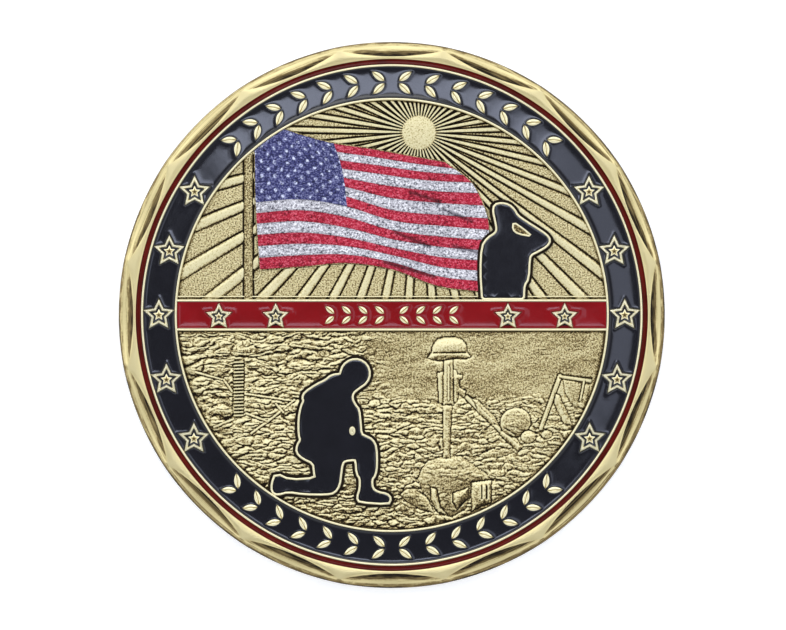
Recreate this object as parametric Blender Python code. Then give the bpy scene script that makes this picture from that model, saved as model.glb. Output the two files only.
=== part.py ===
"""A die-struck challenge coin with enamel fills, lying flat with its obverse up.

Metres, +Z up, +Y towards twelve o'clock. The origin is at the centre of the reverse rim's plane.
The coin is one struck body of brass. Its obverse has raised lines that wall off shallow pockets,
and each pocket holds its own fill of enamel. The flag is printed as separate films of ink.
"""
import math

import bmesh
import bpy
from mathutils import Vector

MM = 0.001

# Blank
DIAMETER = 44.45 * MM
THICKNESS = 3.0 * MM
ROUND_SEGMENTS = 80

# Rim, from the outer wall inwards
RIM_WIDTH = 1.42 * MM
SCALLOPS = 16
SCALLOP_PEAK_INSET = 0.33 * MM
SCALLOP_DEPTH = 0.65 * MM
SCALLOP_SLOPE = math.radians(38)
SCALLOP_HOLLOW = 0.05 * MM

# Ringed border, from the rim inwards
RED_RING_WIDTH = 0.38 * MM
LINE_WIDTH = 0.24 * MM
BAND_WIDTH = 2.50 * MM

# Heights
FIELD_DEPTH = 0.50 * MM
RIDGE_DROP = 0.08 * MM
DETAIL_DROP = 0.02 * MM
ENAMEL_DROP = 0.10 * MM
POCKET_DEPTH = 0.06 * MM
REVERSE_DEPTH = 0.40 * MM
REVERSE_RELIEF = 0.25 * MM
ROOT = 0.15 * MM
FIT_GAP = 0.03 * MM

# Stars
STAR_BITE = 0.06 * MM
STAR_NEAR = 0.20 * MM
STAR_LINE = 0.20 * MM
STAR_CORE_SHARE = 0.4
STAR_PITCH = math.radians(16)
STARS_PER_SIDE = 5

# Laurel leaves
LEAF_MARGIN = 0.42 * MM
LEAF_WIDTH = 0.50 * MM
LEAF_LEAN = math.radians(40)
LEAF_STATIONS = 14
LAUREL_HALF_SPAN = math.radians(43)

# Banner across the field
BANNER_HEIGHT = 2.12 * MM
BANNER_LEAF_WIDTH = 0.40 * MM
BANNER_LEAF_STATIONS = 4
BANNER_LEAF_PITCH = 1.35 * MM

# Low relief and print
RAY_HEIGHT = 0.06 * MM
RAY_COUNT = 44
FLAG_HEIGHT = 0.10 * MM
FLAG_MARGIN = 0.12 * MM
INK_THICKNESS = 0.08 * MM
RELIEF_HEIGHT = 0.22 * MM

# Reverse: a raised star inside a wreath
REVERSE_STAR_RADIUS = 8.5 * MM
WREATH_RADIUS = 14.8 * MM
WREATH_LEAVES = 20
WREATH_LEAF_LENGTH = 4.2 * MM
WREATH_LEAF_WIDTH = 1.5 * MM
WREATH_LEAN = math.radians(24)

# The pictures are drawn, in millimetres, for a field of this radius whose banner is this tall
ART_FIELD_RADIUS = 17.4
ART_BANNER_EDGE = 1.3

RADIUS = DIAMETER / 2
RED_OUTER = RADIUS - RIM_WIDTH
RED_INNER = RED_OUTER - RED_RING_WIDTH
BAND_OUTER = RED_INNER - LINE_WIDTH
BAND_INNER = BAND_OUTER - BAND_WIDTH
FIELD_RADIUS = BAND_INNER - LINE_WIDTH
FIELD_LIMIT = FIELD_RADIUS + LINE_WIDTH / 2
BANNER_EDGE = BANNER_HEIGHT / 2 + LINE_WIDTH

Z_FLOOR = THICKNESS - FIELD_DEPTH
Z_RIDGE = THICKNESS - RIDGE_DROP
Z_DETAIL = Z_RIDGE - DETAIL_DROP
Z_ENAMEL = Z_RIDGE - ENAMEL_DROP
Z_ROOT = Z_FLOOR - ROOT

STAR_SPAN = 1 + math.cos(math.radians(36))
STAR_ARM_SLOPE = math.cos(math.radians(72))

SALUTING_FIGURE = [
    (7.3, 1.38), (7.3, 3.9), (7.5, 5.5), (7.9, 6.1), (8.7, 6.5), (8.5, 7.3), (8.4, 8.1), (8.6, 8.7),
    (9.1, 9.0), (9.7, 8.8), (10.2, 8.2), (10.9, 7.7), (12.6, 6.4), (12.7, 5.9), (12.2, 5.5),
    (11.2, 4.9), (11.1, 2.7), (10.7, 2.5), (10.7, 1.38),
]
ARM_WINDOW = [(9.9, 7.5), (11.3, 6.4), (10.0, 6.5)]
KNEELING_FIGURE = [
    (-4.0, -4.9), (-3.8, -4.1), (-3.2, -3.65), (-2.5, -3.65), (-1.95, -4.1), (-1.8, -4.8),
    (-2.1, -5.5), (-2.8, -5.9), (-3.3, -6.4), (-3.2, -7.1), (-2.7, -7.4), (-2.4, -8.0),
    (-2.3, -9.7), (-1.7, -9.8), (-1.2, -10.3), (-1.1, -12.7), (-1.4, -13.1), (-1.4, -14.0),
    (-0.7, -14.3), (-0.2, -14.8), (-0.5, -15.2), (-2.7, -15.1), (-2.7, -14.4), (-2.6, -13.0),
    (-2.9, -11.7), (-4.0, -11.9), (-4.3, -13.9), (-4.8, -14.5), (-9.1, -14.4), (-9.6, -14.1),
    (-9.4, -12.8), (-8.2, -13.4), (-6.1, -13.2), (-6.3, -11.8), (-7.3, -11.6), (-7.7, -10.9),
    (-7.6, -9.7), (-7.5, -8.0), (-7.2, -6.7), (-6.2, -5.7),
]
SUN_CENTRE = (2.2, 14.8)
SUN_RADIUS = 1.35
FLAGPOLE = [(-12.0, 13.2), (-11.55, 13.6), (-11.35, 1.2), (-12.0, 1.2)]

# Heights of the flag's top and bottom edges from the hoist to the fly, and x along both ends
FLAG_TOP = [15.8, 14.8, 14.0, 13.5, 12.8, 12.2]
FLAG_BOTTOM = [3.7, 4.0, 4.3, 3.6, 2.7, 1.75]
FLAG_HOIST = [-11.2, -10.9, -10.6]
FLAG_FLY = [4.6, 7.7, 7.1]
FLAG_STEPS = 12
STRIPES = 13
CANTON_STRIPES = 7
CANTON_STEPS = 5

RELIEFS = {
    "helmet": [(3.0, -3.7), (3.3, -3.2), (3.6, -2.5), (4.2, -2.0), (4.8, -1.85), (5.5, -2.1),
               (6.1, -2.6), (6.3, -3.2), (6.6, -3.7)],
    "standing_rifle": [(4.3, -3.6), (5.1, -3.6), (5.1, -5.6), (5.9, -5.8), (5.9, -6.6), (5.1, -6.6),
                       (5.2, -11.3), (4.0, -11.3)],
    "boots": [(2.2, -13.6), (2.4, -11.7), (3.4, -11.2), (5.6, -11.2), (6.2, -12.0), (6.4, -13.6)],
    "crate": [(6.6, -13.3), (8.5, -13.3), (8.5, -14.9), (6.6, -14.9)],
    "leaning_rifle": [(7.0, -7.5), (7.4, -7.2), (10.5, -10.7), (10.1, -11.0)],
    "fallen_helmet": [(8.9, -9.3), (9.0, -8.4), (9.7, -7.7), (10.7, -7.7), (11.4, -8.4), (11.4, -9.2)],
    "tent_pole_left": [(13.6, -4.8), (14.0, -5.0), (12.2, -9.4), (11.8, -9.2)],
    "tent_pole_right": [(13.5, -5.8), (13.8, -5.8), (14.6, -8.9), (14.2, -8.9)],
    "tent_ridge": [(13.7, -4.8), (13.7, -5.2), (16.0, -5.6), (16.0, -5.2)],
    "fence_post": [(-12.6, -4.0), (-12.2, -4.0), (-12.2, -8.0), (-12.6, -8.0)],
}

BLACK = (0.012, 0.013, 0.016)
SCARLET = (0.42, 0.012, 0.022)
OXBLOOD = (0.10, 0.012, 0.008)
INK_RED = (0.46, 0.018, 0.045)
INK_WHITE = (0.66, 0.66, 0.72)
INK_BLUE = (0.065, 0.075, 0.28)
BRASS = (0.62, 0.50, 0.25)


def clear_scene():
    for obj in list(bpy.data.objects):
        bpy.data.objects.remove(obj)


def material(name, colour, roughness, metallic):
    made = bpy.data.materials.new(name)
    made.use_nodes = True
    shader = made.node_tree.nodes["Principled BSDF"]
    shader.inputs["Base Color"].default_value = (*colour, 1)
    shader.inputs["Roughness"].default_value = roughness
    shader.inputs["Metallic"].default_value = metallic
    return made


def polar(radius, angle):
    return Vector((radius * math.cos(angle), radius * math.sin(angle)))


def upper(x, y):
    """A point of the upper picture, which stretches with the field and stands on the banner."""
    rise = (FIELD_RADIUS - BANNER_EDGE) / (ART_FIELD_RADIUS - ART_BANNER_EDGE)
    return Vector((x * FIELD_RADIUS / ART_FIELD_RADIUS, BANNER_EDGE + (y - ART_BANNER_EDGE) * rise))


def lower(x, y):
    """A point of the lower picture, which hangs from the banner's lower edge."""
    mirrored = upper(x, -y)
    return Vector((mirrored.x, -mirrored.y))


def offset(outline, distance):
    """The outline moved outwards by a distance, with mitred corners; it runs either way round."""
    count = len(outline)
    area = sum(a.cross(b) for a, b in zip(outline, outline[1:] + outline[:1]))
    side = 1 if area > 0 else -1
    moved = []
    for index, point in enumerate(outline):
        before = (point - outline[index - 1]).normalized()
        after = (outline[(index + 1) % count] - point).normalized()
        normal = Vector((before.y + after.y, -before.x - after.x)).normalized() * side
        lean = normal.dot(Vector((after.y, -after.x)) * side)
        moved.append(point + normal * distance / max(lean, 0.3))
    return moved


def clipped(outline, radius):
    """The outline with each point beyond the radius drawn in to it."""
    return [point * min(1, radius / point.length) for point in outline]


def star(centre, radius):
    """Five-pointed star with one tip towards +Y."""
    inner = radius * STAR_ARM_SLOPE / math.cos(math.radians(36))
    return [centre + polar(inner if step % 2 else radius, math.radians(90 + 36 * step))
            for step in range(10)]


def shrunk_star_radius(radius, wall):
    """The radius of the star whose edges lie one wall inside those of a star of this radius."""
    return radius - wall / STAR_ARM_SLOPE


def leaf(centre, length, width, angle):
    """Pointed laurel leaf, centred on a point and lying along an angle."""
    along = polar(1, angle)
    across = Vector((-along.y, along.x))
    shape = [(-0.5, 0), (-0.18, -0.5), (0.2, -0.4), (0.5, 0), (0.2, 0.4), (-0.18, 0.5)]
    return [centre + along * length * u + across * width * v for u, v in shape]


def arc(radius, start, end):
    """Points along an arc: both ends, and the blank's own facet corners between them."""
    pitch = 2 * math.pi / ROUND_SEGMENTS
    low, high = min(start, end), max(start, end)
    inner = [step * pitch for step in range(math.ceil(low / pitch), math.floor(high / pitch) + 1)]
    inner = [angle for angle in inner if low + pitch / 8 < angle < high - pitch / 8]
    angles = [low, *inner, high]
    if start > end:
        angles.reverse()
    return [polar(radius, angle) for angle in angles]


def finished(name, mesh_builder, look=None, guide=None):
    """The object for a bmesh: a piece with a material, or a hidden guide in a collection."""
    bmesh.ops.recalc_face_normals(mesh_builder, faces=mesh_builder.faces)
    mesh = bpy.data.meshes.new(name)
    mesh_builder.to_mesh(mesh)
    mesh_builder.free()
    obj = bpy.data.objects.new(name, mesh)
    if guide is None:
        bpy.context.scene.collection.objects.link(obj)
        mesh.materials.append(look)
    else:
        guide.objects.link(obj)
        obj.hide_render = True
        obj.display_type = "WIRE"
    return obj


def prism(name, outline, bottom, top, **where):
    """A closed outline carried straight up from one height to another."""
    built = bmesh.new()
    base = built.faces.new([built.verts.new((*point, bottom)) for point in outline])
    risen = bmesh.ops.extrude_face_region(built, geom=[base])["geom"]
    corners = [item for item in risen if isinstance(item, bmesh.types.BMVert)]
    bmesh.ops.translate(built, verts=corners, vec=(0, 0, top - bottom))
    return finished(name, built, **where)


def wall(name, outside, inside, bottom, top, **where):
    """A closed wall between two outlines that have the same number of points."""
    built = bmesh.new()
    loops = []
    for outline, height in ((outside, bottom), (outside, top), (inside, top), (inside, bottom)):
        loops.append([built.verts.new((*point, height)) for point in outline])
    count = len(outside)
    for loop, following in zip(loops, loops[1:] + loops[:1]):
        for index in range(count):
            turn = (index + 1) % count
            built.faces.new((loop[index], loop[turn], following[turn], following[index]))
    return finished(name, built, **where)


def guides(name):
    made = bpy.data.collections.new(name)
    bpy.context.scene.collection.children.link(made)
    return made


def boolean(obj, operation, collection):
    modifier = obj.modifiers.new(f"{operation.lower()}_{collection.name}", "BOOLEAN")
    modifier.operation = operation
    modifier.operand_type = "COLLECTION"
    modifier.collection = collection
    modifier.solver = "EXACT"


def scallop_inset(angle):
    """How far in from the outer wall the flat rim ends: shallow arcs that meet in points."""
    pitch = 2 * math.pi / SCALLOPS
    share = ((angle / pitch + 0.5) % 1 - 0.5) * 2
    return SCALLOP_PEAK_INSET + SCALLOP_DEPTH * (1 - share * share)


def blank(look):
    """The turned and scalloped disc with its ringed border, from the obverse field to the reverse."""
    built = bmesh.new()
    rows = []

    def row(radius, height):
        corners = []
        for step in range(ROUND_SEGMENTS):
            angle = 2 * math.pi * step / ROUND_SEGMENTS
            inset = scallop_inset(angle)
            reach = radius(inset) if callable(radius) else radius
            level = height(inset) if callable(height) else height
            corners.append(built.verts.new((*polar(reach, angle), level)))
        rows.append(corners)

    drop = math.tan(SCALLOP_SLOPE)
    for radius, height in (
        (FIELD_RADIUS, Z_FLOOR), (FIELD_RADIUS, Z_RIDGE), (BAND_INNER, Z_RIDGE), (BAND_INNER, Z_FLOOR),
        (BAND_OUTER, Z_FLOOR), (BAND_OUTER, Z_RIDGE), (RED_INNER, Z_RIDGE), (RED_INNER, Z_FLOOR),
        (RED_OUTER, Z_FLOOR), (RED_OUTER, THICKNESS),
    ):
        row(radius, height)
    row(lambda inset: RADIUS - inset, THICKNESS)
    row(lambda inset: RADIUS - inset / 2, lambda inset: THICKNESS - inset * drop / 2 - SCALLOP_HOLLOW)
    row(RADIUS, lambda inset: THICKNESS - inset * drop)
    row(RADIUS, lambda inset: inset * drop)
    row(lambda inset: RADIUS - inset / 2, lambda inset: inset * drop / 2 + SCALLOP_HOLLOW)
    row(lambda inset: RADIUS - inset, 0)
    row(RED_OUTER, 0)
    row(RED_OUTER, REVERSE_DEPTH)
    for upper_row, lower_row in zip(rows, rows[1:]):
        for step in range(ROUND_SEGMENTS):
            turn = (step + 1) % ROUND_SEGMENTS
            built.faces.new((upper_row[step], upper_row[turn], lower_row[turn], lower_row[step]))
    built.faces.new(rows[0])
    built.faces.new(rows[-1])
    return finished("coin_body", built, look=look)


def border_stars():
    """Centres and common radius of the border's upright stars, balanced between its two lines."""
    radius = (BAND_WIDTH + 2 * STAR_BITE) / STAR_SPAN
    centres = {}
    for side, middle in (("right", 0.0), ("left", math.pi)):
        for number in range(STARS_PER_SIDE):
            turn = (STARS_PER_SIDE - 1) / 2 - number
            angle = middle + turn * STAR_PITCH * (1 if side == "right" else -1)
            outward = polar(1, angle)
            tips = [polar(radius, math.radians(90 + 72 * arm)).dot(outward) for arm in range(5)]
            reach = (BAND_OUTER + BAND_INNER) / 2 - (max(tips) + min(tips)) / 2
            centres[f"{side}_{number + 1}"] = outward * reach
    return centres, radius


def border_meeting_points(centre, radius, side):
    """Angles where arms cross the band's inner and outer lines, for the cell on one side of a star."""
    outward = centre.normalized()
    sideways = Vector((-outward.y, outward.x)) * side
    tips = [polar(radius, math.radians(90 + 72 * arm)) for arm in range(5)]
    angles = []
    for edge, facing in ((BAND_INNER, -outward), (BAND_OUTER, outward)):
        furthest = max(tip.dot(facing) for tip in tips)
        near_line = [tip for tip in tips if tip.dot(facing) > furthest - STAR_NEAR]
        along = max(near_line, key=lambda tip: tip.dot(sideways)).normalized()
        half = centre.dot(along)
        spread = math.sqrt(half * half - centre.length_squared + edge * edge)
        reach = -half + spread if edge == BAND_OUTER else -half - spread
        point = centre + along * reach
        angles.append(math.atan2(point.y, point.x) % (2 * math.pi))
    return angles


def border_cell(first, second, radius):
    """The band between two stars, anticlockwise from one to the other, with a gap to both lines."""
    inner_start, outer_start = border_meeting_points(first, radius, 1)
    inner_end, outer_end = border_meeting_points(second, radius, -1)
    if outer_end < outer_start:
        outer_end += 2 * math.pi
    if inner_end < inner_start:
        inner_end += 2 * math.pi
    outside = arc(BAND_OUTER - FIT_GAP, outer_start, outer_end)
    inside = arc(BAND_INNER + FIT_GAP, inner_end, inner_start)
    return [first, *outside, second, *inside]


def laurel(middle):
    """Leaves in pairs along an arc of the band, pointing away from the arc's middle."""
    centre_radius = (BAND_OUTER + BAND_INNER) / 2
    room = BAND_WIDTH / 2 - LEAF_MARGIN
    length = room / math.sin(LEAF_LEAN)
    for station in range(LEAF_STATIONS):
        share = 2 * station / (LEAF_STATIONS - 1) - 1
        angle = middle + share * LAUREL_HALF_SPAN
        heading = angle + math.pi / 2 * (1 if share >= 0 else -1)
        for side in (1, -1):
            turned = heading - LEAF_LEAN * side * (1 if share >= 0 else -1)
            yield leaf(polar(centre_radius + side * (room + LEAF_MARGIN / 2) / 2, angle),
                       length, LEAF_WIDTH, turned)


def banner_sprig():
    """Leaves in pairs on both sides of the banner's middle, pointing away from it."""
    room = BANNER_HEIGHT / 2 - LEAF_MARGIN
    length = room / math.sin(LEAF_LEAN)
    for side in (1, -1):
        for station in range(BANNER_LEAF_STATIONS):
            across = side * (station + 0.75) * BANNER_LEAF_PITCH
            heading = 0 if side > 0 else math.pi
            for rise in (1, -1):
                yield leaf(Vector((across, rise * (room + LEAF_MARGIN / 2) / 2)), length,
                           BANNER_LEAF_WIDTH, heading + rise * side * LEAF_LEAN)


def banner_cell(start, end, star_drop):
    """The banner between two x positions; None stands for the field's own round edge."""
    half = BANNER_HEIGHT / 2 - FIT_GAP
    edge_angle = math.asin(half / (FIELD_RADIUS - FIT_GAP))
    right = arc(FIELD_RADIUS - FIT_GAP, -edge_angle, edge_angle)
    leg = math.tan(math.radians(36))
    outline = []
    if end is None:
        outline += right
    else:
        outline += [Vector((end - (half + star_drop) * leg, -half)), Vector((end, star_drop)),
                    Vector((end, half))]
    if start is None:
        outline += [-point for point in right]
    else:
        outline += [Vector((start, half)), Vector((start, star_drop)),
                    Vector((start + (half + star_drop) * leg, -half))]
    return outline


def curve_value(values, share):
    """Smooth curve through evenly spaced values."""
    spot = min(share * (len(values) - 1), len(values) - 1.0001)
    index = int(spot)
    part = spot - index
    before = values[max(index - 1, 0)]
    start, end = values[index], values[index + 1]
    after = values[min(index + 2, len(values) - 1)]
    slope_in, slope_out = (end - before) / 2, (after - start) / 2
    return (start * (2 * part**3 - 3 * part**2 + 1) + slope_in * (part**3 - 2 * part**2 + part)
            + end * (3 * part**2 - 2 * part**3) + slope_out * (part**3 - part**2))


def flag_point(along, down):
    """A point of the waving flag; both shares run from 0 to 1, from the hoist and from the top."""
    hoist = curve_value(FLAG_HOIST, down)
    fly = curve_value(FLAG_FLY, down)
    top = curve_value(FLAG_TOP, along)
    bottom = curve_value(FLAG_BOTTOM, along)
    return upper(hoist + (fly - hoist) * along, top + (bottom - top) * down)


def flag_strip(first, last, top, bottom):
    """Outline of a strip of the flag, between two steps along it and two stripe seams."""
    steps = range(first, last + 1)
    above = [flag_point(step / FLAG_STEPS, top / STRIPES) for step in steps]
    below = [flag_point(step / FLAG_STEPS, bottom / STRIPES) for step in reversed(steps)]
    ends = range(top + 1, bottom)
    right = [flag_point(last / FLAG_STEPS, seam / STRIPES) for seam in ends]
    left = [flag_point(first / FLAG_STEPS, seam / STRIPES) for seam in reversed(ends)]
    return above + right + below + left


def edge_reach(origin, along):
    """Distance from a point to the middle of the line that bounds the upper field."""
    half = origin.dot(along)
    reach = -half + math.sqrt(half * half - origin.length_squared + FIELD_LIMIT * FIELD_LIMIT)
    if along.y < 0:
        reach = min(reach, (origin.y - BANNER_EDGE + LINE_WIDTH / 2) / -along.y)
    return reach


def rays(where):
    """The sun's raised rays, each widening until it meets the field's edge."""
    centre = upper(*SUN_CENTRE)
    share = math.pi / RAY_COUNT / 2
    for number in range(RAY_COUNT):
        middle = 2 * math.pi * (number + 0.5) / RAY_COUNT
        near = [centre + polar(SUN_RADIUS * 0.8 * MM, middle + side * share) for side in (-1, 1)]
        far = []
        for side in (1, -1):
            along = polar(1, middle + side * share * 0.35)
            far.append(centre + along * edge_reach(centre, along))
        prism(f"ray_{number}", near + far, Z_ROOT, Z_FLOOR + RAY_HEIGHT, guide=where)


def main():
    clear_scene()
    brass = material("antique_brass", BRASS, 0.32, 1.0)
    black = material("black_enamel", BLACK, 0.08, 0.0)
    scarlet = material("scarlet_enamel", SCARLET, 0.10, 0.0)
    oxblood = material("oxblood_enamel", OXBLOOD, 0.12, 0.0)
    red_ink = material("red_ink", INK_RED, 0.55, 0.0)
    white_ink = material("white_ink", INK_WHITE, 0.55, 0.0)
    blue_ink = material("blue_ink", INK_BLUE, 0.55, 0.0)

    body = blank(brass)
    ridges = guides("ridges")
    pockets = guides("pockets")
    border_holes = guides("border_holes")
    banner_holes = guides("banner_holes")
    window_holes = guides("window_holes")

    figure_holes = guides("figure_holes")

    def pocketed_figure(name, outline):
        """A gold line standing on the field around a sunk pocket, and the enamel that fills it."""
        rim = offset(outline, FIT_GAP)
        wall(f"{name}_line", offset(outline, FIT_GAP + LINE_WIDTH), rim, Z_ROOT, Z_DETAIL, guide=ridges)
        prism(f"{name}_pocket", rim, Z_FLOOR - POCKET_DEPTH, THICKNESS, guide=pockets)
        prism(f"{name}_hole", offset(outline, 2 * FIT_GAP + LINE_WIDTH), 0, THICKNESS, guide=figure_holes)
        return prism(f"{name}_enamel", outline, Z_FLOOR - POCKET_DEPTH + FIT_GAP, Z_ENAMEL, look=black)

    def outlined_star(name, centre, radius, holes):
        """A gold star line with a small gold star at its heart, and the enamel between them."""
        inner = shrunk_star_radius(radius, STAR_LINE)
        core = inner * STAR_CORE_SHARE
        wall(f"{name}_line", star(centre, radius), star(centre, inner), Z_ROOT, Z_DETAIL, guide=ridges)
        prism(f"{name}_core", star(centre, core), Z_ROOT, Z_DETAIL, guide=ridges)
        prism(f"{name}_hole", star(centre, shrunk_star_radius(radius, -FIT_GAP)), 0, THICKNESS,
              guide=holes)
        wall(f"{name}_enamel", star(centre, shrunk_star_radius(inner, FIT_GAP)),
             star(centre, shrunk_star_radius(core, -FIT_GAP)), Z_FLOOR + FIT_GAP, Z_ENAMEL,
             look=black)

    centres, star_radius = border_stars()
    for name, centre in centres.items():
        outlined_star(f"border_star_{name}", centre, star_radius, border_holes)
    for middle, place in ((math.pi / 2, "top"), (3 * math.pi / 2, "bottom")):
        for number, outline in enumerate(laurel(middle)):
            name = f"laurel_{place}_{number}"
            prism(name, outline, Z_ROOT, Z_DETAIL, guide=ridges)
            prism(f"{name}_hole", offset(outline, FIT_GAP), 0, THICKNESS, guide=border_holes)

    last = STARS_PER_SIDE
    cells = {"top": ("right_1", "left_1"), "bottom": (f"left_{last}", f"right_{last}")}
    for number in range(1, last):
        cells[f"left_{number}"] = (f"left_{number}", f"left_{number + 1}")
        cells[f"right_{number}"] = (f"right_{number + 1}", f"right_{number}")
    for place, (first, second) in cells.items():
        outline = border_cell(centres[first], centres[second], star_radius)
        cell = prism(f"border_enamel_{place}", outline, Z_FLOOR + FIT_GAP, Z_ENAMEL, look=black)
        boolean(cell, "DIFFERENCE", border_holes)

    circle = [polar(1, 2 * math.pi * step / ROUND_SEGMENTS) for step in range(ROUND_SEGMENTS)]
    wall("red_ring_enamel", [point * (RED_OUTER - FIT_GAP) for point in circle],
         [point * (RED_INNER + FIT_GAP) for point in circle], Z_FLOOR + FIT_GAP, Z_ENAMEL, look=oxblood)

    for side in (1, -1):
        near = side * BANNER_HEIGHT / 2
        far = side * BANNER_EDGE
        reach = math.sqrt(FIELD_LIMIT**2 - BANNER_EDGE**2)
        corners = [Vector((-reach, near)), Vector((reach, near)), Vector((reach, far)), Vector((-reach, far))]
        prism(f"banner_line_{side}", corners, Z_ROOT, Z_RIDGE, guide=ridges)
    banner_radius = (BANNER_HEIGHT + 2 * STAR_BITE) / STAR_SPAN
    star_drop = -banner_radius * (1 - math.cos(math.radians(36))) / 2
    star_places = [FIELD_RADIUS * share for share in (-0.806, -0.541, 0.541, 0.806)]
    for number, place in enumerate(star_places):
        outlined_star(f"banner_star_{number + 1}", Vector((place, star_drop)), banner_radius, banner_holes)
    for number, outline in enumerate(banner_sprig()):
        prism(f"sprig_{number}", outline, Z_ROOT, Z_DETAIL, guide=ridges)
        prism(f"sprig_{number}_hole", offset(outline, FIT_GAP), 0, THICKNESS, guide=banner_holes)
    stops = [None, *star_places, None]
    for number, (start, end) in enumerate(zip(stops, stops[1:])):
        cell = prism(f"banner_enamel_{number + 1}", banner_cell(start, end, star_drop),
                     Z_FLOOR + FIT_GAP, Z_ENAMEL, look=scarlet)
        boolean(cell, "DIFFERENCE", banner_holes)

    window = [upper(*point) for point in ARM_WINDOW]
    prism("arm_window", window, Z_ROOT, Z_DETAIL - DETAIL_DROP, guide=ridges)
    prism("arm_window_hole", offset(window, FIT_GAP), 0, THICKNESS, guide=window_holes)
    saluting = pocketed_figure("saluting_figure", [upper(*point) for point in SALUTING_FIGURE])
    boolean(saluting, "DIFFERENCE", window_holes)
    pocketed_figure("kneeling_figure", [lower(*point) for point in KNEELING_FIGURE])

    panel = clipped(offset(flag_strip(0, FLAG_STEPS, 0, STRIPES), FLAG_MARGIN), FIELD_LIMIT)
    prism("flag_panel", panel, Z_ROOT, Z_FLOOR + FLAG_HEIGHT, guide=ridges)
    inks = {"flag_canton_ink": (0, CANTON_STEPS, 0, CANTON_STRIPES, blue_ink)}
    for stripe in range(STRIPES):
        start = CANTON_STEPS if stripe < CANTON_STRIPES else 0
        colour = "white" if stripe % 2 else "red"
        inks[f"flag_{colour}_stripe_{stripe // 2 + 1}"] = (
            start, FLAG_STEPS, stripe, stripe + 1, white_ink if stripe % 2 else red_ink)
    ink_base = Z_FLOOR + FLAG_HEIGHT + FIT_GAP
    for name, (first, end, top, bottom, look) in inks.items():
        outline = offset(flag_strip(first, end, top, bottom), -FIT_GAP / 2)
        outline = clipped(outline, FIELD_RADIUS - 2 * FIT_GAP)
        film = prism(name, outline, ink_base, ink_base + INK_THICKNESS, look=look)
        boolean(film, "DIFFERENCE", figure_holes)

    sun = upper(*SUN_CENTRE)
    disc = [sun + polar(SUN_RADIUS * MM, 2 * math.pi * step / 24) for step in range(24)]
    prism("sun", disc, Z_ROOT, Z_FLOOR + 2 * RAY_HEIGHT, guide=ridges)
    rays(ridges)
    prism("flagpole", clipped([upper(*point) for point in FLAGPOLE], FIELD_LIMIT), Z_ROOT,
          Z_FLOOR + RELIEF_HEIGHT, guide=ridges)
    for name, outline in RELIEFS.items():
        prism(name, [lower(*point) for point in outline], Z_ROOT, Z_FLOOR + RELIEF_HEIGHT, guide=ridges)

    relief = (REVERSE_DEPTH - REVERSE_RELIEF, REVERSE_DEPTH + ROOT)
    prism("reverse_star", star(Vector((0, 0)), REVERSE_STAR_RADIUS), *relief, guide=ridges)
    for number in range(WREATH_LEAVES):
        angle = 2 * math.pi * number / WREATH_LEAVES
        outline = leaf(polar(WREATH_RADIUS, angle), WREATH_LEAF_LENGTH, WREATH_LEAF_WIDTH,
                       angle + math.pi / 2 + WREATH_LEAN)
        prism(f"wreath_leaf_{number}", outline, *relief, guide=ridges)

    boolean(body, "UNION", ridges)
    boolean(body, "DIFFERENCE", pockets)


main()
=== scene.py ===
"""The looks of a die-struck challenge coin: antique brass relief, enamel fills and a printed flag."""
import math

import bpy
import numpy as np
from mathutils.geometry import delaunay_2d_cdt
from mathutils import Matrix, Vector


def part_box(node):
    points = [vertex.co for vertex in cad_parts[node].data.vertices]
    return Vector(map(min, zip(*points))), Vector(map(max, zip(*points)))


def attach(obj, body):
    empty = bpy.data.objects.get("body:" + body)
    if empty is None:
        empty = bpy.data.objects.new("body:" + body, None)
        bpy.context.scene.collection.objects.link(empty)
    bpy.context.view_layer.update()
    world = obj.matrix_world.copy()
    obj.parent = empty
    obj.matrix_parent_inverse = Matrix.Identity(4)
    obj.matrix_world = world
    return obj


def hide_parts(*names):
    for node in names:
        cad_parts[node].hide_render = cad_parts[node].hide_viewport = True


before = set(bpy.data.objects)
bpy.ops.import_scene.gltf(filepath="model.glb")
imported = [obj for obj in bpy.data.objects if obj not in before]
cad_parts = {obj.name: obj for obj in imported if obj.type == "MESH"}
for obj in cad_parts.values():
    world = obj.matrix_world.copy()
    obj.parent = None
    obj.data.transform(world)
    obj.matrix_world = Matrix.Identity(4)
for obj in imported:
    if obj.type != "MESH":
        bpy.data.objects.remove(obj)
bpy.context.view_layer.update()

MM = 0.001

# ---------------------------------------------------------------- sizes, in millimetres, from the frame


def node_box(name):
    low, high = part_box(name)
    return np.array(low) / MM, np.array(high) / MM


BODY_HIGH = node_box("coin_body")[1]
RING_LOW, RING_HIGH = node_box("red_ring_enamel")
RADIUS = BODY_HIGH[0]
TOP = BODY_HIGH[2]
GAP = 0.03
RIM_INNER = RING_HIGH[0] + GAP
RING_WIDTH = 0.38
LINE = 0.24
BAND = 2.50
RING_INNER = RIM_INNER - RING_WIDTH
BAND_OUTER = RING_INNER - LINE
BAND_INNER = BAND_OUTER - BAND
FIELD = BAND_INNER - LINE
BANNER_HALF = node_box("banner_enamel_3")[1][1] + GAP
BANNER_EDGE = BANNER_HALF + LINE
ENAMEL = RING_HIGH[2]
FLOOR = RING_LOW[2] - GAP
RIDGE = ENAMEL + 0.10
LINE_TOP = RIDGE - 0.02
REVERSE_FLOOR = 0.40
INK = node_box("flag_canton_ink")[1][2]


# ---------------------------------------------------------------- mesh helpers

TABLE = 64
OCTAVE_SHIFT = (17.3, 5.9)
CRACK = (0.02, 0.42)
STAR_FATNESS = 0.48
RIDGE_PROFILE = [(-1.0, -0.35), (-0.94, 0.45), (-0.78, 0.86), (-0.45, 0.99), (0, 1.0),
                 (0.45, 0.99), (0.78, 0.86), (0.94, 0.45), (1.0, -0.35)]
MITRE = 0.45


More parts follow.
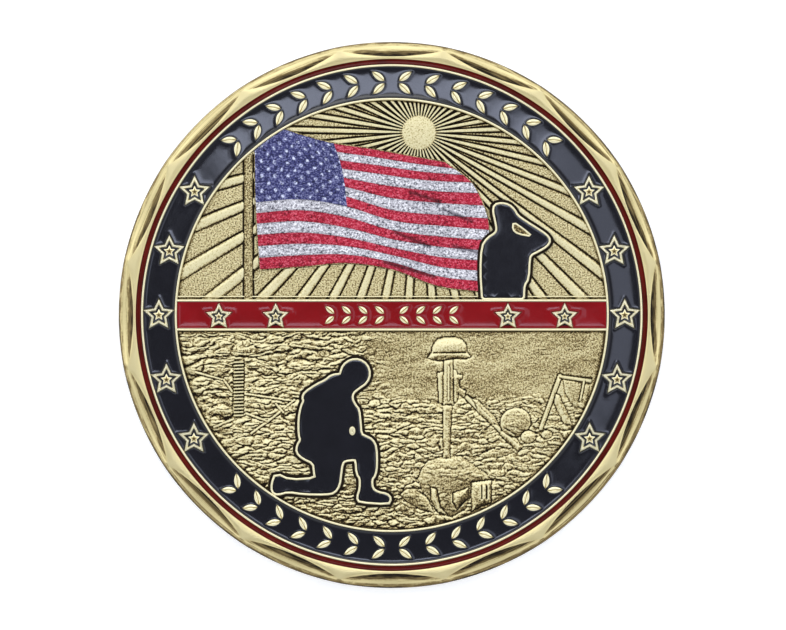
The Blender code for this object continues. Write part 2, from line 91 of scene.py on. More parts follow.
def mesh_object(name, points, faces, material, smooth, attributes):
    """A mesh from points in millimetres, with named numbers kept at each of its points."""
    mesh = bpy.data.meshes.new(name)
    points = np.asarray(points, dtype=np.float64) * MM
    mesh.from_pydata(points.tolist(), [], faces)
    mesh.update()
    for key, values in attributes.items():
        layer = mesh.attributes.new(key, "FLOAT", "POINT")
        layer.data.foreach_set("value", np.asarray(values, dtype=np.float32).ravel())
    if smooth:
        mesh.shade_smooth()
    mesh.materials.append(material)
    obj = bpy.data.objects.new(name, mesh)
    bpy.context.scene.collection.objects.link(obj)
    return obj


def grid_faces(rows, columns, wrap=False, flip=False):
    """Quads of a grid of points stored row by row; wrap joins the last column to the first.

    They face the way of columns x rows, or the other way with flip.
    """
    width = columns if wrap else columns - 1
    index = np.arange(rows * columns).reshape(rows, columns)
    right = np.roll(index, -1, axis=1)
    corners = [index[:-1, :width], right[:-1, :width], right[1:, :width], index[1:, :width]]
    return np.stack(corners[::-1] if flip else corners, axis=-1).reshape(-1, 4).tolist()


def spun(radius, angle, height):
    """Points at the given radius, angle and height."""
    return np.stack(np.broadcast_arrays(radius * np.cos(angle), radius * np.sin(angle), height), axis=-1)


def noise(x, y, seed, octaves=4, stretch=(1.0, 1.0)):
    """Smooth value noise of about one unit's grain, in 0..1."""
    rng = np.random.default_rng(seed)
    total = np.zeros_like(x)
    weight = 0.0
    for octave in range(octaves):
        size = 2.0**octave
        table = rng.random((TABLE, TABLE))
        px = x * size / stretch[0] + OCTAVE_SHIFT[0] * octave
        py = y * size / stretch[1] + OCTAVE_SHIFT[1] * octave
        ix, iy = np.floor(px).astype(int), np.floor(py).astype(int)
        fx, fy = px - ix, py - iy
        fx, fy = fx * fx * (3 - 2 * fx), fy * fy * (3 - 2 * fy)
        value = 0
        for dy, weight_y in ((0, 1 - fy), (1, fy)):
            row = (iy + dy) % TABLE
            value = value + (table[row, ix % TABLE] * (1 - fx) + table[row, (ix + 1) % TABLE] * fx) * weight_y
        total += value / size
        weight += 1 / size
    return total / weight


def stones(x, y, seed, size):
    """Irregular stones of about the given width and height: 0 in the cracks to 1, and each one's level."""
    table = np.random.default_rng(seed).random((3, TABLE, TABLE))
    u, v = x / size[0], y / size[1]
    cell_u, cell_v = np.floor(u).astype(int), np.floor(v).astype(int)
    first, second = np.full((2, *x.shape), 9.0)
    level = np.zeros(x.shape)
    for du in (-1, 0, 1):
        for dv in (-1, 0, 1):
            iu, iv = cell_u + du, cell_v + dv
            jitter_u, jitter_v, own = (layer[iv % TABLE, iu % TABLE] for layer in table)
            distance = np.hypot(u - iu - jitter_u, v - iv - jitter_v)
            nearer = distance < first
            second = np.where(nearer, first, np.minimum(second, distance))
            level = np.where(nearer, own, level)
            first = np.where(nearer, distance, first)
    return smoothstep(*CRACK, second - first), level


def smoothstep(low, high, value):
    t = np.clip((value - low) / (high - low), 0, 1)
    return t * t * (3 - 2 * t)


def blur(values, passes):
    """Soft box blur of a 2-D array, by repeated averaging with its neighbours."""
    for _ in range(passes):
        padded = np.pad(values, 1, mode="edge")
        values = (padded[:-2, 1:-1] + padded[2:, 1:-1] + padded[1:-1, :-2] + padded[1:-1, 2:]
                  + 2 * values) / 6
    return values


def segment_distance(px, py, a, b):
    ax, ay = a
    dx, dy = b[0] - ax, b[1] - ay
    length = dx * dx + dy * dy
    t = np.clip(((px - ax) * dx + (py - ay) * dy) / max(length, 1e-12), 0, 1)
    return np.hypot(px - ax - t * dx, py - ay - t * dy)


def outline_distance(px, py, outline):
    """Distance to a closed outline, negative inside it."""
    distance = np.full(px.shape, 1e9)
    inside = np.zeros(px.shape, dtype=bool)
    count = len(outline)
    for index in range(count):
        a, b = outline[index], outline[(index + 1) % count]
        distance = np.minimum(distance, segment_distance(px, py, a, b))
        crosses = (a[1] > py) != (b[1] > py)
        slope = (b[0] - a[0]) / (b[1] - a[1] if b[1] != a[1] else 1e-12)
        inside ^= crosses & (px < a[0] + (py - a[1]) * slope)
    return np.where(inside, -distance, distance)


def island_distance(px, py, islands, reach=0.5):
    """Smallest distance to any of many small outlines, looked up only near each."""
    distance = np.full(px.shape, 9.0)
    for outline in islands:
        shape = np.asarray(outline)
        low, high = shape.min(axis=0) - reach, shape.max(axis=0) + reach
        near = (px > low[0]) & (px < high[0]) & (py > low[1]) & (py < high[1])
        if near.any():
            distance[near] = np.minimum(distance[near], outline_distance(px[near], py[near], outline))
    return distance


def polar(radius, angle):
    return np.array([radius * math.cos(angle), radius * math.sin(angle)])


def star(centre, radius):
    inner = radius * STAR_FATNESS
    return [np.asarray(centre) + polar(inner if step % 2 else radius, math.radians(90 + 36 * step))
            for step in range(10)]


def rounded(outline):
    """The outline with its corners cut off."""
    points = []
    for a, b in zip(outline, outline[1:] + outline[:1]):
        points += [a * 0.75 + b * 0.25, a * 0.25 + b * 0.75]
    return points


def step_normal(before, after):
    """Which way is outwards where two stretches of a line meet, and how far a mitre reaches there."""
    before, after = before / np.linalg.norm(before), after / np.linalg.norm(after)
    normal = np.array([before[1] + after[1], -before[0] - after[0]])
    normal /= np.linalg.norm(normal)
    return normal / max(float(normal @ np.array([after[1], -after[0]])), MITRE)


def ridge(path, half_width, base, top, closed=True, crest_wear_and_shade=1.0):
    """Points, faces and wear of a raised line, whose profile's 0..1 spans base to top; at a scale of 0 the
    line is dark all over, a painted shadow.
    """
    path = [np.asarray(point, float) for point in path]
    count = len(path)
    points, wear_and_shade = [], []
    for index, point in enumerate(path):
        before = path[index - 1] if closed or index else point - (path[1] - point)
        after = path[(index + 1) % count] if closed or index < count - 1 else point + (point - path[-2])
        sideways = step_normal(point - before, after - point) * half_width
        for across, rise in RIDGE_PROFILE:
            points.append((*(point + sideways * across), base + (top - base) * rise))
            wear_and_shade.append(rise * crest_wear_and_shade)
    index = np.arange(len(points)).reshape(count, -1)
    ahead = np.roll(index, -1, axis=0)
    last = count if closed else count - 1
    faces = np.stack([index[:last, 1:], ahead[:last, 1:], ahead[:last, :-1], index[:last, :-1]], axis=-1)
    return points, faces.reshape(-1, 4).tolist(), wear_and_shade


def grown(outline, distance):
    """The outline moved outwards, or inwards for a negative distance, with limited mitres."""
    area = sum(a[0] * b[1] - a[1] * b[0] for a, b in zip(outline, outline[1:] + outline[:1]))
    outwards = distance if area > 0 else -distance
    following = outline[1:] + outline[:1]
    return [point + step_normal(point - outline[index - 1], following[index] - point) * outwards
            for index, point in enumerate(outline)]


def gather(parts):
    """Several (points, faces, wear and painted shade) lists as one."""
    points, faces, wear_and_shade = [], [], []
    for part_points, part_faces, part_wear_and_shade in parts:
        faces += [[index + len(points) for index in face] for face in part_faces]
        points += [tuple(point) for point in part_points]
        wear_and_shade += list(part_wear_and_shade)
    return points, faces, wear_and_shade


body_pieces, fills = [], []


def brass(name, relief, metal, sharp=None, smooth=True, **attributes):
    """A piece of the struck body, from its points, faces and wear with painted shade; sharp is an angle in
    degrees.
    """
    points, faces, wear_and_shade = relief
    piece = mesh_object(name, points, faces, metal, smooth, {"wear_and_shade": wear_and_shade, **attributes})
    if sharp:
        piece.data.set_sharp_from_angle(angle=math.radians(sharp))
    body_pieces.append(piece)


def fill(name, points, faces, look, node, **attributes):
    """A fill of enamel or ink, which takes the place of a node of the CAD model."""
    piece = mesh_object(name, points, faces, look, True, attributes)
    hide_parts(node)
    fills.append(piece)


# ---------------------------------------------------------------- materials


class Nodes:
    """Short ways to add nodes to a node tree."""

    def __init__(self, tree):
        self.tree = tree

    def node(self, kind, **values):
        node = self.tree.nodes.new(kind)
        for key, value in values.items():
            setattr(node, key, value)
        return node

    def link(self, source, target):
        self.tree.links.new(source, target)

    def ramp(self, value, stops, interpolation="LINEAR"):
        node = self.node("ShaderNodeValToRGB")
        node.color_ramp.interpolation = interpolation
        elements = node.color_ramp.elements
        while len(elements) < len(stops):
            elements.new(0.5)
        for element, (spot, colour) in zip(elements, stops):
            element.position = spot
            element.color = (*colour, 1)
        self.link(value, node.inputs["Fac"])
        return node.outputs["Color"]

    def math(self, operation, first, second, clamp=False):
        node = self.node("ShaderNodeMath", operation=operation, use_clamp=clamp)
        for socket, value in zip(node.inputs, (first, second)):
            if isinstance(value, (int, float)):
                socket.default_value = value
            else:
                self.link(value, socket)
        return node.outputs[0]

    def spread(self, value, low, high, new_low, new_high, interpolation="LINEAR"):
        """Brings values between low and high to between new_low and new_high."""
        node = self.node("ShaderNodeMapRange", interpolation_type=interpolation)
        self.link(value, node.inputs["Value"])
        for key, number in (("From Min", low), ("From Max", high), ("To Min", new_low), ("To Max", new_high)):
            node.inputs[key].default_value = number
        return node.outputs["Result"]

    def mix(self, share, first, second, blend="MIX"):
        node = self.node("ShaderNodeMix", data_type="RGBA", blend_type=blend)
        for key, value in (("Factor", share), ("A", first), ("B", second)):
            socket = [item for item in node.inputs if item.name == key and item.enabled][0]
            if isinstance(value, (int, float)):
                socket.default_value = value
            elif isinstance(value, tuple):
                socket.default_value = (*value, 1)
            else:
                self.link(value, socket)
        return [item for item in node.outputs if item.enabled][0]


class Shader(Nodes):
    """A Principled material and its textures, with sizes in millimetres."""

    def __init__(self, name, roughness, metallic):
        self.material = bpy.data.materials.new(name)
        self.material.use_nodes = True
        super().__init__(self.material.node_tree)
        self.surface = self.tree.nodes["Principled BSDF"]
        self.surface.inputs["Roughness"].default_value = roughness
        self.surface.inputs["Metallic"].default_value = metallic
        self.place = self.node("ShaderNodeTexCoord").outputs["Object"]

    def noise(self, grain_mm, detail=3.0, roughness=0.6, stretch=None):
        node = self.node("ShaderNodeTexNoise")
        node.inputs["Scale"].default_value = 1 / (grain_mm * MM)
        node.inputs["Detail"].default_value = detail
        node.inputs["Roughness"].default_value = roughness
        place = self.place
        if stretch:
            mapping = self.node("ShaderNodeMapping")
            mapping.inputs["Scale"].default_value = stretch
            self.link(place, mapping.inputs["Vector"])
            place = mapping.outputs["Vector"]
        self.link(place, node.inputs["Vector"])
        return node.outputs["Fac"]

    def streaks(self, across_mm, along_mm):
        """Fine marks that run round the coin, from its 'reach' and 'turn' attributes in millimetres."""
        joined = self.node("ShaderNodeCombineXYZ")
        self.link(self.math("MULTIPLY", self.attribute("reach"), 1 / across_mm), joined.inputs["X"])
        self.link(self.math("MULTIPLY", self.attribute("turn"), 1 / along_mm), joined.inputs["Y"])
        node = self.node("ShaderNodeTexNoise")
        node.inputs["Scale"].default_value = 1.0
        node.inputs["Detail"].default_value = 3.0
        self.link(joined.outputs["Vector"], node.inputs["Vector"])
        return node.outputs["Fac"]

    def attribute(self, name):
        return self.node("ShaderNodeAttribute", attribute_name=name).outputs["Fac"]

    def bump(self, height, strength, distance_mm):
        node = self.node("ShaderNodeBump")
        node.inputs["Strength"].default_value = strength
        node.inputs["Distance"].default_value = distance_mm * MM
        self.link(height, node.inputs["Height"])
        self.link(node.outputs["Normal"], self.surface.inputs["Normal"])


GOLD_LIGHT = (0.72, 0.655, 0.40)
GOLD = (0.56, 0.47, 0.235)
GOLD_DEEP = (0.24, 0.175, 0.075)
# the darkest brass: the dark wash in hollows, and also painted shade and shadow
PATINA_AND_SHADE = (0.018, 0.013, 0.009)
SHADE_TINT = (0.10, 0.08, 0.12)
SPOT_WHITE = (0.62, 0.66, 0.86)


def struck_metal(name, grain_mm, grain_bump, dark_at, light_at, roughness, speckle=0.0, brushed=False,
                 lightest=GOLD_LIGHT):
    """Antique brass, dark where the wear attribute is low: its dark wash in hollows, and painted shade too.
    """
    look = Shader(name, roughness, 1.0)
    fine = look.noise(grain_mm, 4.0, 0.7)
    broad = look.noise(2.5, 3.0, 0.55)
    wear_and_shade = look.attribute("wear_and_shade")
    grains = look.spread(fine, 0.38, 0.62, -speckle, speckle)
    raised = look.math("MULTIPLY", wear_and_shade, 3.0, clamp=True)
    shifted = look.math("ADD", wear_and_shade, look.math("MULTIPLY", grains, raised))
    shifted = look.math("ADD", shifted, look.spread(broad, 0, 1, -0.05, 0.05))
    if brushed:
        streaks = look.streaks(0.13, 2.6)
        depth = look.math("SUBTRACT", 1.0, wear_and_shade, clamp=True)
        scored = look.math("MULTIPLY", look.spread(streaks, 0.3, 0.7, -0.30, 0.22), depth)
        shifted = look.math("ADD", shifted, scored)
    middle = (dark_at + light_at) / 2
    colour = look.ramp(shifted, [(dark_at, PATINA_AND_SHADE), (middle - 0.02, GOLD_DEEP), (middle + 0.1, GOLD),
                                 (light_at, lightest)])
    look.link(colour, look.surface.inputs["Base Color"])
    rough = look.spread(shifted, dark_at, light_at, min(roughness + 0.25, 0.9), roughness)
    look.link(look.math("ADD", rough, look.spread(fine, 0, 1, -0.05, 0.05)), look.surface.inputs["Roughness"])
    look.bump(fine, grain_bump, 0.02)
    return look.material


def enamel(name, colour, deep, specular=0.5):
    """Glossy soft enamel with a faint orange peel and a slightly darker, uneven depth."""
    look = Shader(name, 0.07, 0.0)
    look.surface.inputs["Specular IOR Level"].default_value = specular
    broad = look.noise(1.6, 2.0, 0.5)
    look.link(look.mix(look.spread(broad, 0.3, 0.7, 0, 1), deep, colour), look.surface.inputs["Base Color"])
    look.link(look.spread(look.noise(0.5, 3.0), 0, 1, 0.05, 0.11), look.surface.inputs["Roughness"])
    look.bump(look.noise(0.9, 2.0, 0.5), 0.04, 0.02)
    return look.material


def ink(name, colour, dark, light):
    """Printed ink over a sandblasted ground: grains of darker and lighter colour, shaded by its folds."""
    look = Shader(name, 0.6, 0.0)
    look.surface.inputs["Specular IOR Level"].default_value = 0.2
    grain = look.noise(0.15, 2.0, 0.75)
    threads = look.noise(0.15, 2.0, 0.7, stretch=(0.5, 1.5, 1.0))
    speck = look.math("ADD", look.math("MULTIPLY", grain, 0.65), look.math("MULTIPLY", threads, 0.35))
    body = look.ramp(speck, [(0.415, dark), (0.465, colour), (0.525, colour), (0.58, light)])
    shade = look.attribute("shade")
    look.link(look.mix(shade, body, SHADE_TINT, "MULTIPLY"), look.surface.inputs["Base Color"])
    look.bump(speck, 0.5, 0.03)
    return look


rim_metal = struck_metal("rim_brass", 0.20, 0.10, 0.02, 0.75, 0.33, speckle=0.03, brushed=True,
                         lightest=(0.70, 0.60, 0.31))
line_metal = struck_metal("line_brass", 0.14, 0.15, 0.10, 0.85, 0.30, speckle=0.04,
                          lightest=(0.80, 0.73, 0.47))
sand_metal = struck_metal("sandblasted_brass", 0.125, 0.60, 0.05, 0.80, 0.42, speckle=0.34)
relief_metal = struck_metal("relief_brass", 0.125, 0.60, 0.14, 0.88, 0.40, speckle=0.28)
black_enamel = enamel("black_enamel_gloss", (0.0062, 0.0062, 0.0100), (0.0045, 0.0045, 0.0075))
scarlet_enamel = enamel("scarlet_enamel_gloss", (0.215, 0.005, 0.008), (0.180, 0.004, 0.006), 0.25)
oxblood_enamel = enamel("oxblood_enamel_gloss", (0.100, 0.0055, 0.0024), (0.055, 0.0035, 0.0015), 0.12)
red_ink = ink("red_ink_print", (0.40, 0.009, 0.032), (0.10, 0.003, 0.011), (0.60, 0.11, 0.16)).material
white_ink = ink("white_ink_print", (0.44, 0.43, 0.47), (0.06, 0.06, 0.08), (0.84, 0.83, 0.87)).material


def canton_look():
    """Blue ink with rows of small white stars, softened into spots as the print softens them."""
    look = ink("blue_ink_print", (0.036, 0.038, 0.140), (0.008, 0.009, 0.036), (0.20, 0.21, 0.38))
    spots = look.attribute("spots")
    body = look.surface.inputs["Base Color"].links[0].from_socket
    broken = look.spread(look.noise(0.16, 2.0, 0.8), 0.42, 0.60, 0.0, 1.6)
    share = look.math("MULTIPLY", spots, broken, clamp=True)
    look.link(look.mix(share, body, SPOT_WHITE), look.surface.inputs["Base Color"])
    return look.material


blue_ink = canton_look()


# ---------------------------------------------------------------- rim and wall

SCALLOPS = 16
TURNS = SCALLOPS * 64
SHOULDER = 0.42
SHOULDER_DROP = 0.30
LENS_REACH = 0.78
LENS_DEPTH = 0.40
LENS_WALL = 0.46
LENS_SHARE = 0.96  # of the space from the middle of one lens to the next
FLOOR_RISE = 0.05
# each band: (share of the way across the lens floor, how dark it is painted there), a painted reflection that
# is dark at the cut's inner side and lighter outwards
LENS_BANDS = ((0.1, 0.40), (0.22, 0.62), (0.36, 0.25), (0.5, 0.55), (0.62, 0.10), (0.8, 0.30), (1.0, 0.05))

angles = np.arange(TURNS) * 2 * math.pi / TURNS
pitch = 2 * math.pi / SCALLOPS
share = ((angles / pitch + 0.5) % 1 - 0.5) * 2
lens = np.clip(1 - (share / LENS_SHARE) ** 2, 0, 1)
lens_start = RADIUS - SHOULDER - LENS_REACH * lens
wall_width = LENS_WALL * np.sqrt(lens) + 0.01
# painted light on the rim: sunny lightens the shoulder towards the upper left, and shade_side makes the
# painted shade in the cuts' walls weaker on the left
sunny = np.cos(angles - math.radians(125))
shade_side = 1 - 0.16 * np.clip(np.cos(angles - math.radians(165)), 0, 1)


def half_profile():
    """The rim from the field's edge out to the wall, as rows of (radius, depth below the face, wear and
    painted shade).
    """
    flat_start = RIM_INNER + 0.06
    rows = [(RIM_INNER, TOP - FLOOR, 0.0), (RIM_INNER, 0.07, 0.35), (RIM_INNER + 0.02, 0.02, 0.8),
            (flat_start, 0, 1.0)]
    for part in (0.5, 1.0):
        rows.append((flat_start + (lens_start - 0.02 - flat_start) * part, 0, 1.0))
    # the cut's steep wall, painted dark as shade
    for part in np.linspace(0, 1, 8):
        rows.append((lens_start + wall_width * part, LENS_DEPTH * lens * smoothstep(-0.15, 1.0, part),
                     1.0 - shade_side * (1.0 - 0.38 * part**2) * lens**0.3))
    floor_start = lens_start + wall_width
    floor_end = np.maximum(RADIUS - SHOULDER + 0.02, floor_start + 0.02)
    # the lens floor, in bands of painted reflection
    for part, dark in LENS_BANDS:
        rows.append((floor_start + (floor_end - floor_start) * part,
                     LENS_DEPTH * lens + FLOOR_RISE * lens * part, 1.0 - dark * lens**0.3))
    # the rounded shoulder, painted darker as shade where it turns down and lighter towards the upper left
    for turn in np.linspace(0.12, 1, 8) * math.pi / 2:
        rows.append((floor_end + (RADIUS - floor_end) * math.sin(turn),
                     (LENS_DEPTH + FLOOR_RISE) * lens + SHOULDER_DROP * (1 - math.cos(turn)),
                     0.50 + 0.08 * sunny - 0.12 * math.sin(turn) - 0.30 * math.sin(turn) ** 4))
    return rows


def turned(rows, spins):
    """Points, faces and wear with painted shade of a ring turned from rows of (radius, height, wear and
    painted shade).
    """
    points = np.concatenate([spun(radius, spins, height) for radius, height, _ in rows])
    wear_and_shade = np.concatenate([np.broadcast_to(wear_and_shade, spins.shape) for _, _, wear_and_shade in rows])
    return points, grid_faces(len(rows), len(spins), True, True), wear_and_shade


top_half = half_profile()
rows = [(radius, TOP - depth, wear_and_shade) for radius, depth, wear_and_shade in top_half]
rows += top_half[:0:-1]
rows.append((RIM_INNER, REVERSE_FLOOR, 0.0))
brass("rim_and_wall", turned(rows, angles), rim_metal, sharp=40,
      reach=np.concatenate([np.broadcast_to(radius, TURNS) for radius, _, _ in rows]),
      turn=np.tile(np.sin(angles * 2) * RADIUS, len(rows)))

for name, inner, outer in (("inner_line", FIELD, BAND_INNER), ("outer_line", BAND_OUTER, RING_INNER)):
    rows = [((inner + outer) / 2 + across * (outer - inner) / 2, FLOOR + (RIDGE - FLOOR) * rise, rise)
            for across, rise in RIDGE_PROFILE]
    brass(name, turned(rows, angles), line_metal)


# ---------------------------------------------------------------- stars and laurel

STAR_BITE = 0.06
STAR_LINE = 0.30
STAR_CORE_SHARE = 0.62
STAR_PITCH = math.radians(16)
STARS_PER_SIDE = 5
STAR_SPAN = 1 + math.cos(math.radians(36))
ARM_SLOPE = 0.45
NOTCH = 5  # the inner corner between a star's two legs
BANNER_STAR_PLACES = (-0.806, -0.541, 0.541, 0.806)
LEAF_MARGIN = 0.42
LEAF_LEAN = math.radians(40)
LEAF_STEPS = 14
LEAF_LANES = 9
LAUREL_LEAF_WIDTH = 0.50
LAUREL_STATIONS = 14
LAUREL_HALF_SPAN = math.radians(43)
BANNER_LEAF_WIDTH = 0.40
BANNER_LEAF_STATIONS = 4
BANNER_LEAF_PITCH = 1.35

band_middle = (BAND_OUTER + BAND_INNER) / 2
border_radius = (BAND + 2 * STAR_BITE) / STAR_SPAN
banner_radius = (2 * BANNER_HALF + 2 * STAR_BITE) / STAR_SPAN
stars = {}
for side, middle, way in (("right", 0.0, 1), ("left", math.pi, -1)):
    for number in range(STARS_PER_SIDE):
        angle = middle + ((STARS_PER_SIDE - 1) / 2 - number) * STAR_PITCH * way
        outward = polar(1, angle)
        tips = [float(tip @ outward) for tip in star((0, 0), border_radius)[::2]]
        reach = band_middle - (max(tips) + min(tips)) / 2
        stars[f"border_star_{side}_{number + 1}"] = (outward * reach, border_radius)
star_drop = -banner_radius * (1 - math.cos(math.radians(36))) / 2
for number, share_of_field in enumerate(BANNER_STAR_PLACES):
    stars[f"banner_star_{number + 1}"] = (np.array([FIELD * share_of_field, star_drop]), banner_radius)


def star_core(centre, radius):
    """A little five-pointed star with ten facets that rise to its middle."""
    outline = star(centre, radius)
    points = [(*point, height) for height in (FLOOR, RIDGE - 0.09) for point in outline]
    points.append((*centre, RIDGE))
    faces = []
    for index in range(10):
        turn = (index + 1) % 10
        faces += [[index, turn, 10 + turn, 10 + index], [10 + index, 10 + turn, 20]]
    return points, faces, [0.0] * 10 + [1.0] * 10 + [0.05]


def star_path(radius):
    """Radius of the middle of a star's gold line, whose blunt tips reach the star's own radius."""
    return radius - STAR_LINE / 2 / MITRE


def star_inside(radius):
    return star_path(radius) - STAR_LINE / 2 / ARM_SLOPE


brass("star_outlines", gather([ridge(star(centre, star_path(radius)), STAR_LINE / 2, FLOOR, LINE_TOP)
                               for centre, radius in stars.values()]), line_metal, sharp=35)
brass("star_cores", gather([star_core(centre, star_inside(radius) * STAR_CORE_SHARE)
                            for centre, radius in stars.values()]), line_metal, sharp=35, smooth=False)


def leaf_stations(centre, length, width, angle, steps, tip):
    """Stations along a leaf: each one's middle, the way across it and half the leaf's width there."""
    along = polar(1, angle)
    across = np.array([-along[1], along[0]])
    for step in range(steps + 1):
        u = step / steps
        half = width / 2 * math.sin(math.pi * u**0.85) ** 0.9 if 0 < u < 1 else tip
        yield np.asarray(centre) + along * length * (u - 0.5), across, half


def leaf_outline(*leaf):
    stations = list(leaf_stations(*leaf, 9, 0.0))
    left_side = [spot + across * half for spot, across, half in stations]
    right_side = [spot - across * half for spot, across, half in stations]
    return left_side[:-1] + right_side[:0:-1]


def leaf_relief(*leaf):
    """A laurel leaf: a pointed pillow with a groove for its midrib and steep sides."""
    points, wear_and_shade = [], []
    for spot, across, half in leaf_stations(*leaf, LEAF_STEPS, 0.002):
        for lane in range(LEAF_LANES):
            v = 2 * lane / (LEAF_LANES - 1) - 1
            midrib = lane == LEAF_LANES // 2
            rise = -0.35 if abs(v) == 1 else 0.80 + 0.2 * math.cos(v * math.pi / 2) - 0.16 * midrib
            aside = half * min(abs(v) * 1.34, 1.0) * (1 if v > 0 else -1)
            points.append((*(spot + across * aside), FLOOR + (RIDGE - FLOOR) * rise))
            wear_and_shade.append(0.45 if midrib else max(rise, 0.0))
    return points, grid_faces(LEAF_STEPS + 1, LEAF_LANES, flip=True), wear_and_shade


def laurel_leaves(middle):
    """Places, sizes and angles of the pairs of leaves that lie along an arc of the border."""
    room = BAND / 2 - LEAF_MARGIN
    for station in range(LAUREL_STATIONS):
        part = 2 * station / (LAUREL_STATIONS - 1) - 1
        angle = middle + part * LAUREL_HALF_SPAN
        away = 1 if part >= 0 else -1
        for side in (1, -1):
            spot = polar(band_middle + side * (room + LEAF_MARGIN / 2) / 2, angle)
            lean = math.pi / 2 * away - LEAF_LEAN * side * away
            yield spot, room / math.sin(LEAF_LEAN), LAUREL_LEAF_WIDTH, angle + lean


def banner_leaves():
    """The same for the pairs of leaves along the banner, which point away from its middle."""
    room = BANNER_HALF - LEAF_MARGIN
    for side in (1, -1):
        for station in range(BANNER_LEAF_STATIONS):
            for rise in (1, -1):
                spot = np.array([side * (station + 0.75) * BANNER_LEAF_PITCH,
                                 rise * (room + LEAF_MARGIN / 2) / 2])
                angle = (0 if side > 0 else math.pi) + rise * side * LEAF_LEAN
                yield spot, room / math.sin(LEAF_LEAN), BANNER_LEAF_WIDTH, angle


border_islands, banner_islands = [], []
for name, leaves, islands in (("laurel_top", laurel_leaves(math.pi / 2), border_islands),
                              ("laurel_bottom", laurel_leaves(3 * math.pi / 2), border_islands),
                              ("banner_sprig", banner_leaves(), banner_islands)):
    leaves = list(leaves)
    islands += [leaf_outline(*leaf) for leaf in leaves]
    brass(name, gather([leaf_relief(*leaf) for leaf in leaves]), line_metal, sharp=50)
for name, (centre, radius) in stars.items():
    hull = grown(star(centre, star_path(radius)), STAR_LINE / 2)
    if name.startswith("border"):
        border_islands.append(hull)
    else:
        banner_islands.append(hull[:NOTCH] + hull[NOTCH + 1:])


# ---------------------------------------------------------------- enamel

MENISCUS = 0.012
MENISCUS_REACH = 0.075
FOOT = 0.028
FOOT_REACH = 0.26
BORDER_LEAN = 0.020
SUNK = 0.20
RING_ROWS = 11
BAND_ROWS = 46
BANNER_ROWS = 38
GRAIN = 0.065
CLEARANCE = 0.002


def meniscus(distance, from_lines=None):
    """Height of enamel that creeps up the metal beside it; inside an island it drops out of sight."""
    away = np.maximum(distance, 0)
    height = ENAMEL + MENISCUS * np.exp(-away / MENISCUS_REACH)
    height += FOOT * np.exp(-(away if from_lines is None else from_lines) / FOOT_REACH)
    if from_lines is not None:
        height += 0.4 * FOOT * np.exp(-away / (0.7 * FOOT_REACH))
    return np.where(distance > -0.02, height, ENAMEL - SUNK)


def edge_spaced(count, low, high):
    """Positions from low to high that lie closer together at both ends."""
    t = np.linspace(0, 1, count)
    eased = 0.75 * t + 0.25 * (1 - np.cos(math.pi * t)) / 2
    return low + (high - low) * eased


rows = [(radius, float(meniscus(min(radius - RING_INNER, RIM_INNER - radius))), 0.0)
        for radius in edge_spaced(RING_ROWS, RING_INNER + 2 * CLEARANCE, RIM_INNER - 2 * CLEARANCE)]
ring_points, ring_faces, _ = turned(rows, angles)
fill("red_ring", ring_points, ring_faces, oxblood_enamel, "red_ring_enamel")


def border_fill(place, start, end):
    """Enamel of the border between two angles, with the leaves and stars cut out of it."""
    radii = edge_spaced(BAND_ROWS, BAND_INNER + CLEARANCE, BAND_OUTER - CLEARANCE)
    count = int((end - start) * BAND_OUTER / GRAIN) + 2
    spin, reach = np.meshgrid(np.linspace(start, end, count), radii)
    from_lines = np.minimum(reach - BAND_INNER, BAND_OUTER - reach)
    distance = island_distance(reach * np.cos(spin), reach * np.sin(spin), border_islands)
    height = meniscus(np.minimum(distance, from_lines), from_lines) + BORDER_LEAN * (band_middle - reach)
    fill(f"border_fill_{place}", spun(reach, spin, height).reshape(-1, 3),
         grid_faces(BAND_ROWS, count, flip=True), black_enamel, f"border_enamel_{place}")


def star_angle(side, number):
    centre = stars[f"border_star_{side}_{number}"][0]
    return math.atan2(centre[1], centre[0]) % (2 * math.pi)


last = STARS_PER_SIDE
cells = {"top": (("right", 1), ("left", 1)), "bottom": (("left", last), ("right", last))}
for number in range(1, last):
    cells[f"left_{number}"] = (("left", number), ("left", number + 1))
    cells[f"right_{number}"] = (("right", number + 1), ("right", number))
for place, (first, second) in cells.items():
    start, end = star_angle(*first), star_angle(*second)
    if end < start:
        end += 2 * math.pi
    border_fill(place, start, end)

banner_stops = [-FIELD, *[stars[f"banner_star_{number}"][0][0] for number in range(1, 5)], FIELD]
for number, (start, end) in enumerate(zip(banner_stops, banner_stops[1:])):
    heights = edge_spaced(BANNER_ROWS, -BANNER_HALF + CLEARANCE, BANNER_HALF - CLEARANCE)
    count = int((end - start) / GRAIN) + 2
    across, y = np.meshgrid(np.linspace(0, 1, count), heights)
    edge = np.sqrt(FIELD**2 - y * y) - CLEARANCE
    low = -edge if number == 0 else start
    high = edge if number == 4 else end
    x = low + (high - low) * across
    distance = np.minimum(island_distance(x, y, banner_islands),
                          np.minimum(BANNER_HALF - np.abs(y), FIELD - np.hypot(x, y)))
    fill(f"banner_fill_{number + 1}", np.stack([x, y, meniscus(distance)], axis=-1).reshape(-1, 3),
         grid_faces(BANNER_ROWS, count), scarlet_enamel, f"banner_enamel_{number + 1}")

for name, (centre, radius) in stars.items():
    inner = star_inside(radius)
    core = inner * STAR_CORE_SHARE
    loops = ((inner + 0.03, 0.03), (inner - 0.04, 0.01), (core + 0.04, 0.0), (core - 0.05, 0.01))
    points = [(*point, ENAMEL + rise) for reach, rise in loops for point in star(centre, reach)]
    faces = grid_faces(len(loops), 10, wrap=True)
    if name.startswith("banner"):
        # the little arch between the legs, which the banner's own fill leaves out
        hull = star(centre, star_path(radius))
        faces.append([len(points), len(points) + 1, len(points) + 2])
        points += [(*point, ENAMEL - 0.02) for point in hull[NOTCH - 1:NOTCH + 2]]
    fill(f"{name}_fill", points, faces, black_enamel, f"{name}_enamel")


# ---------------------------------------------------------------- the pictures' own coordinates

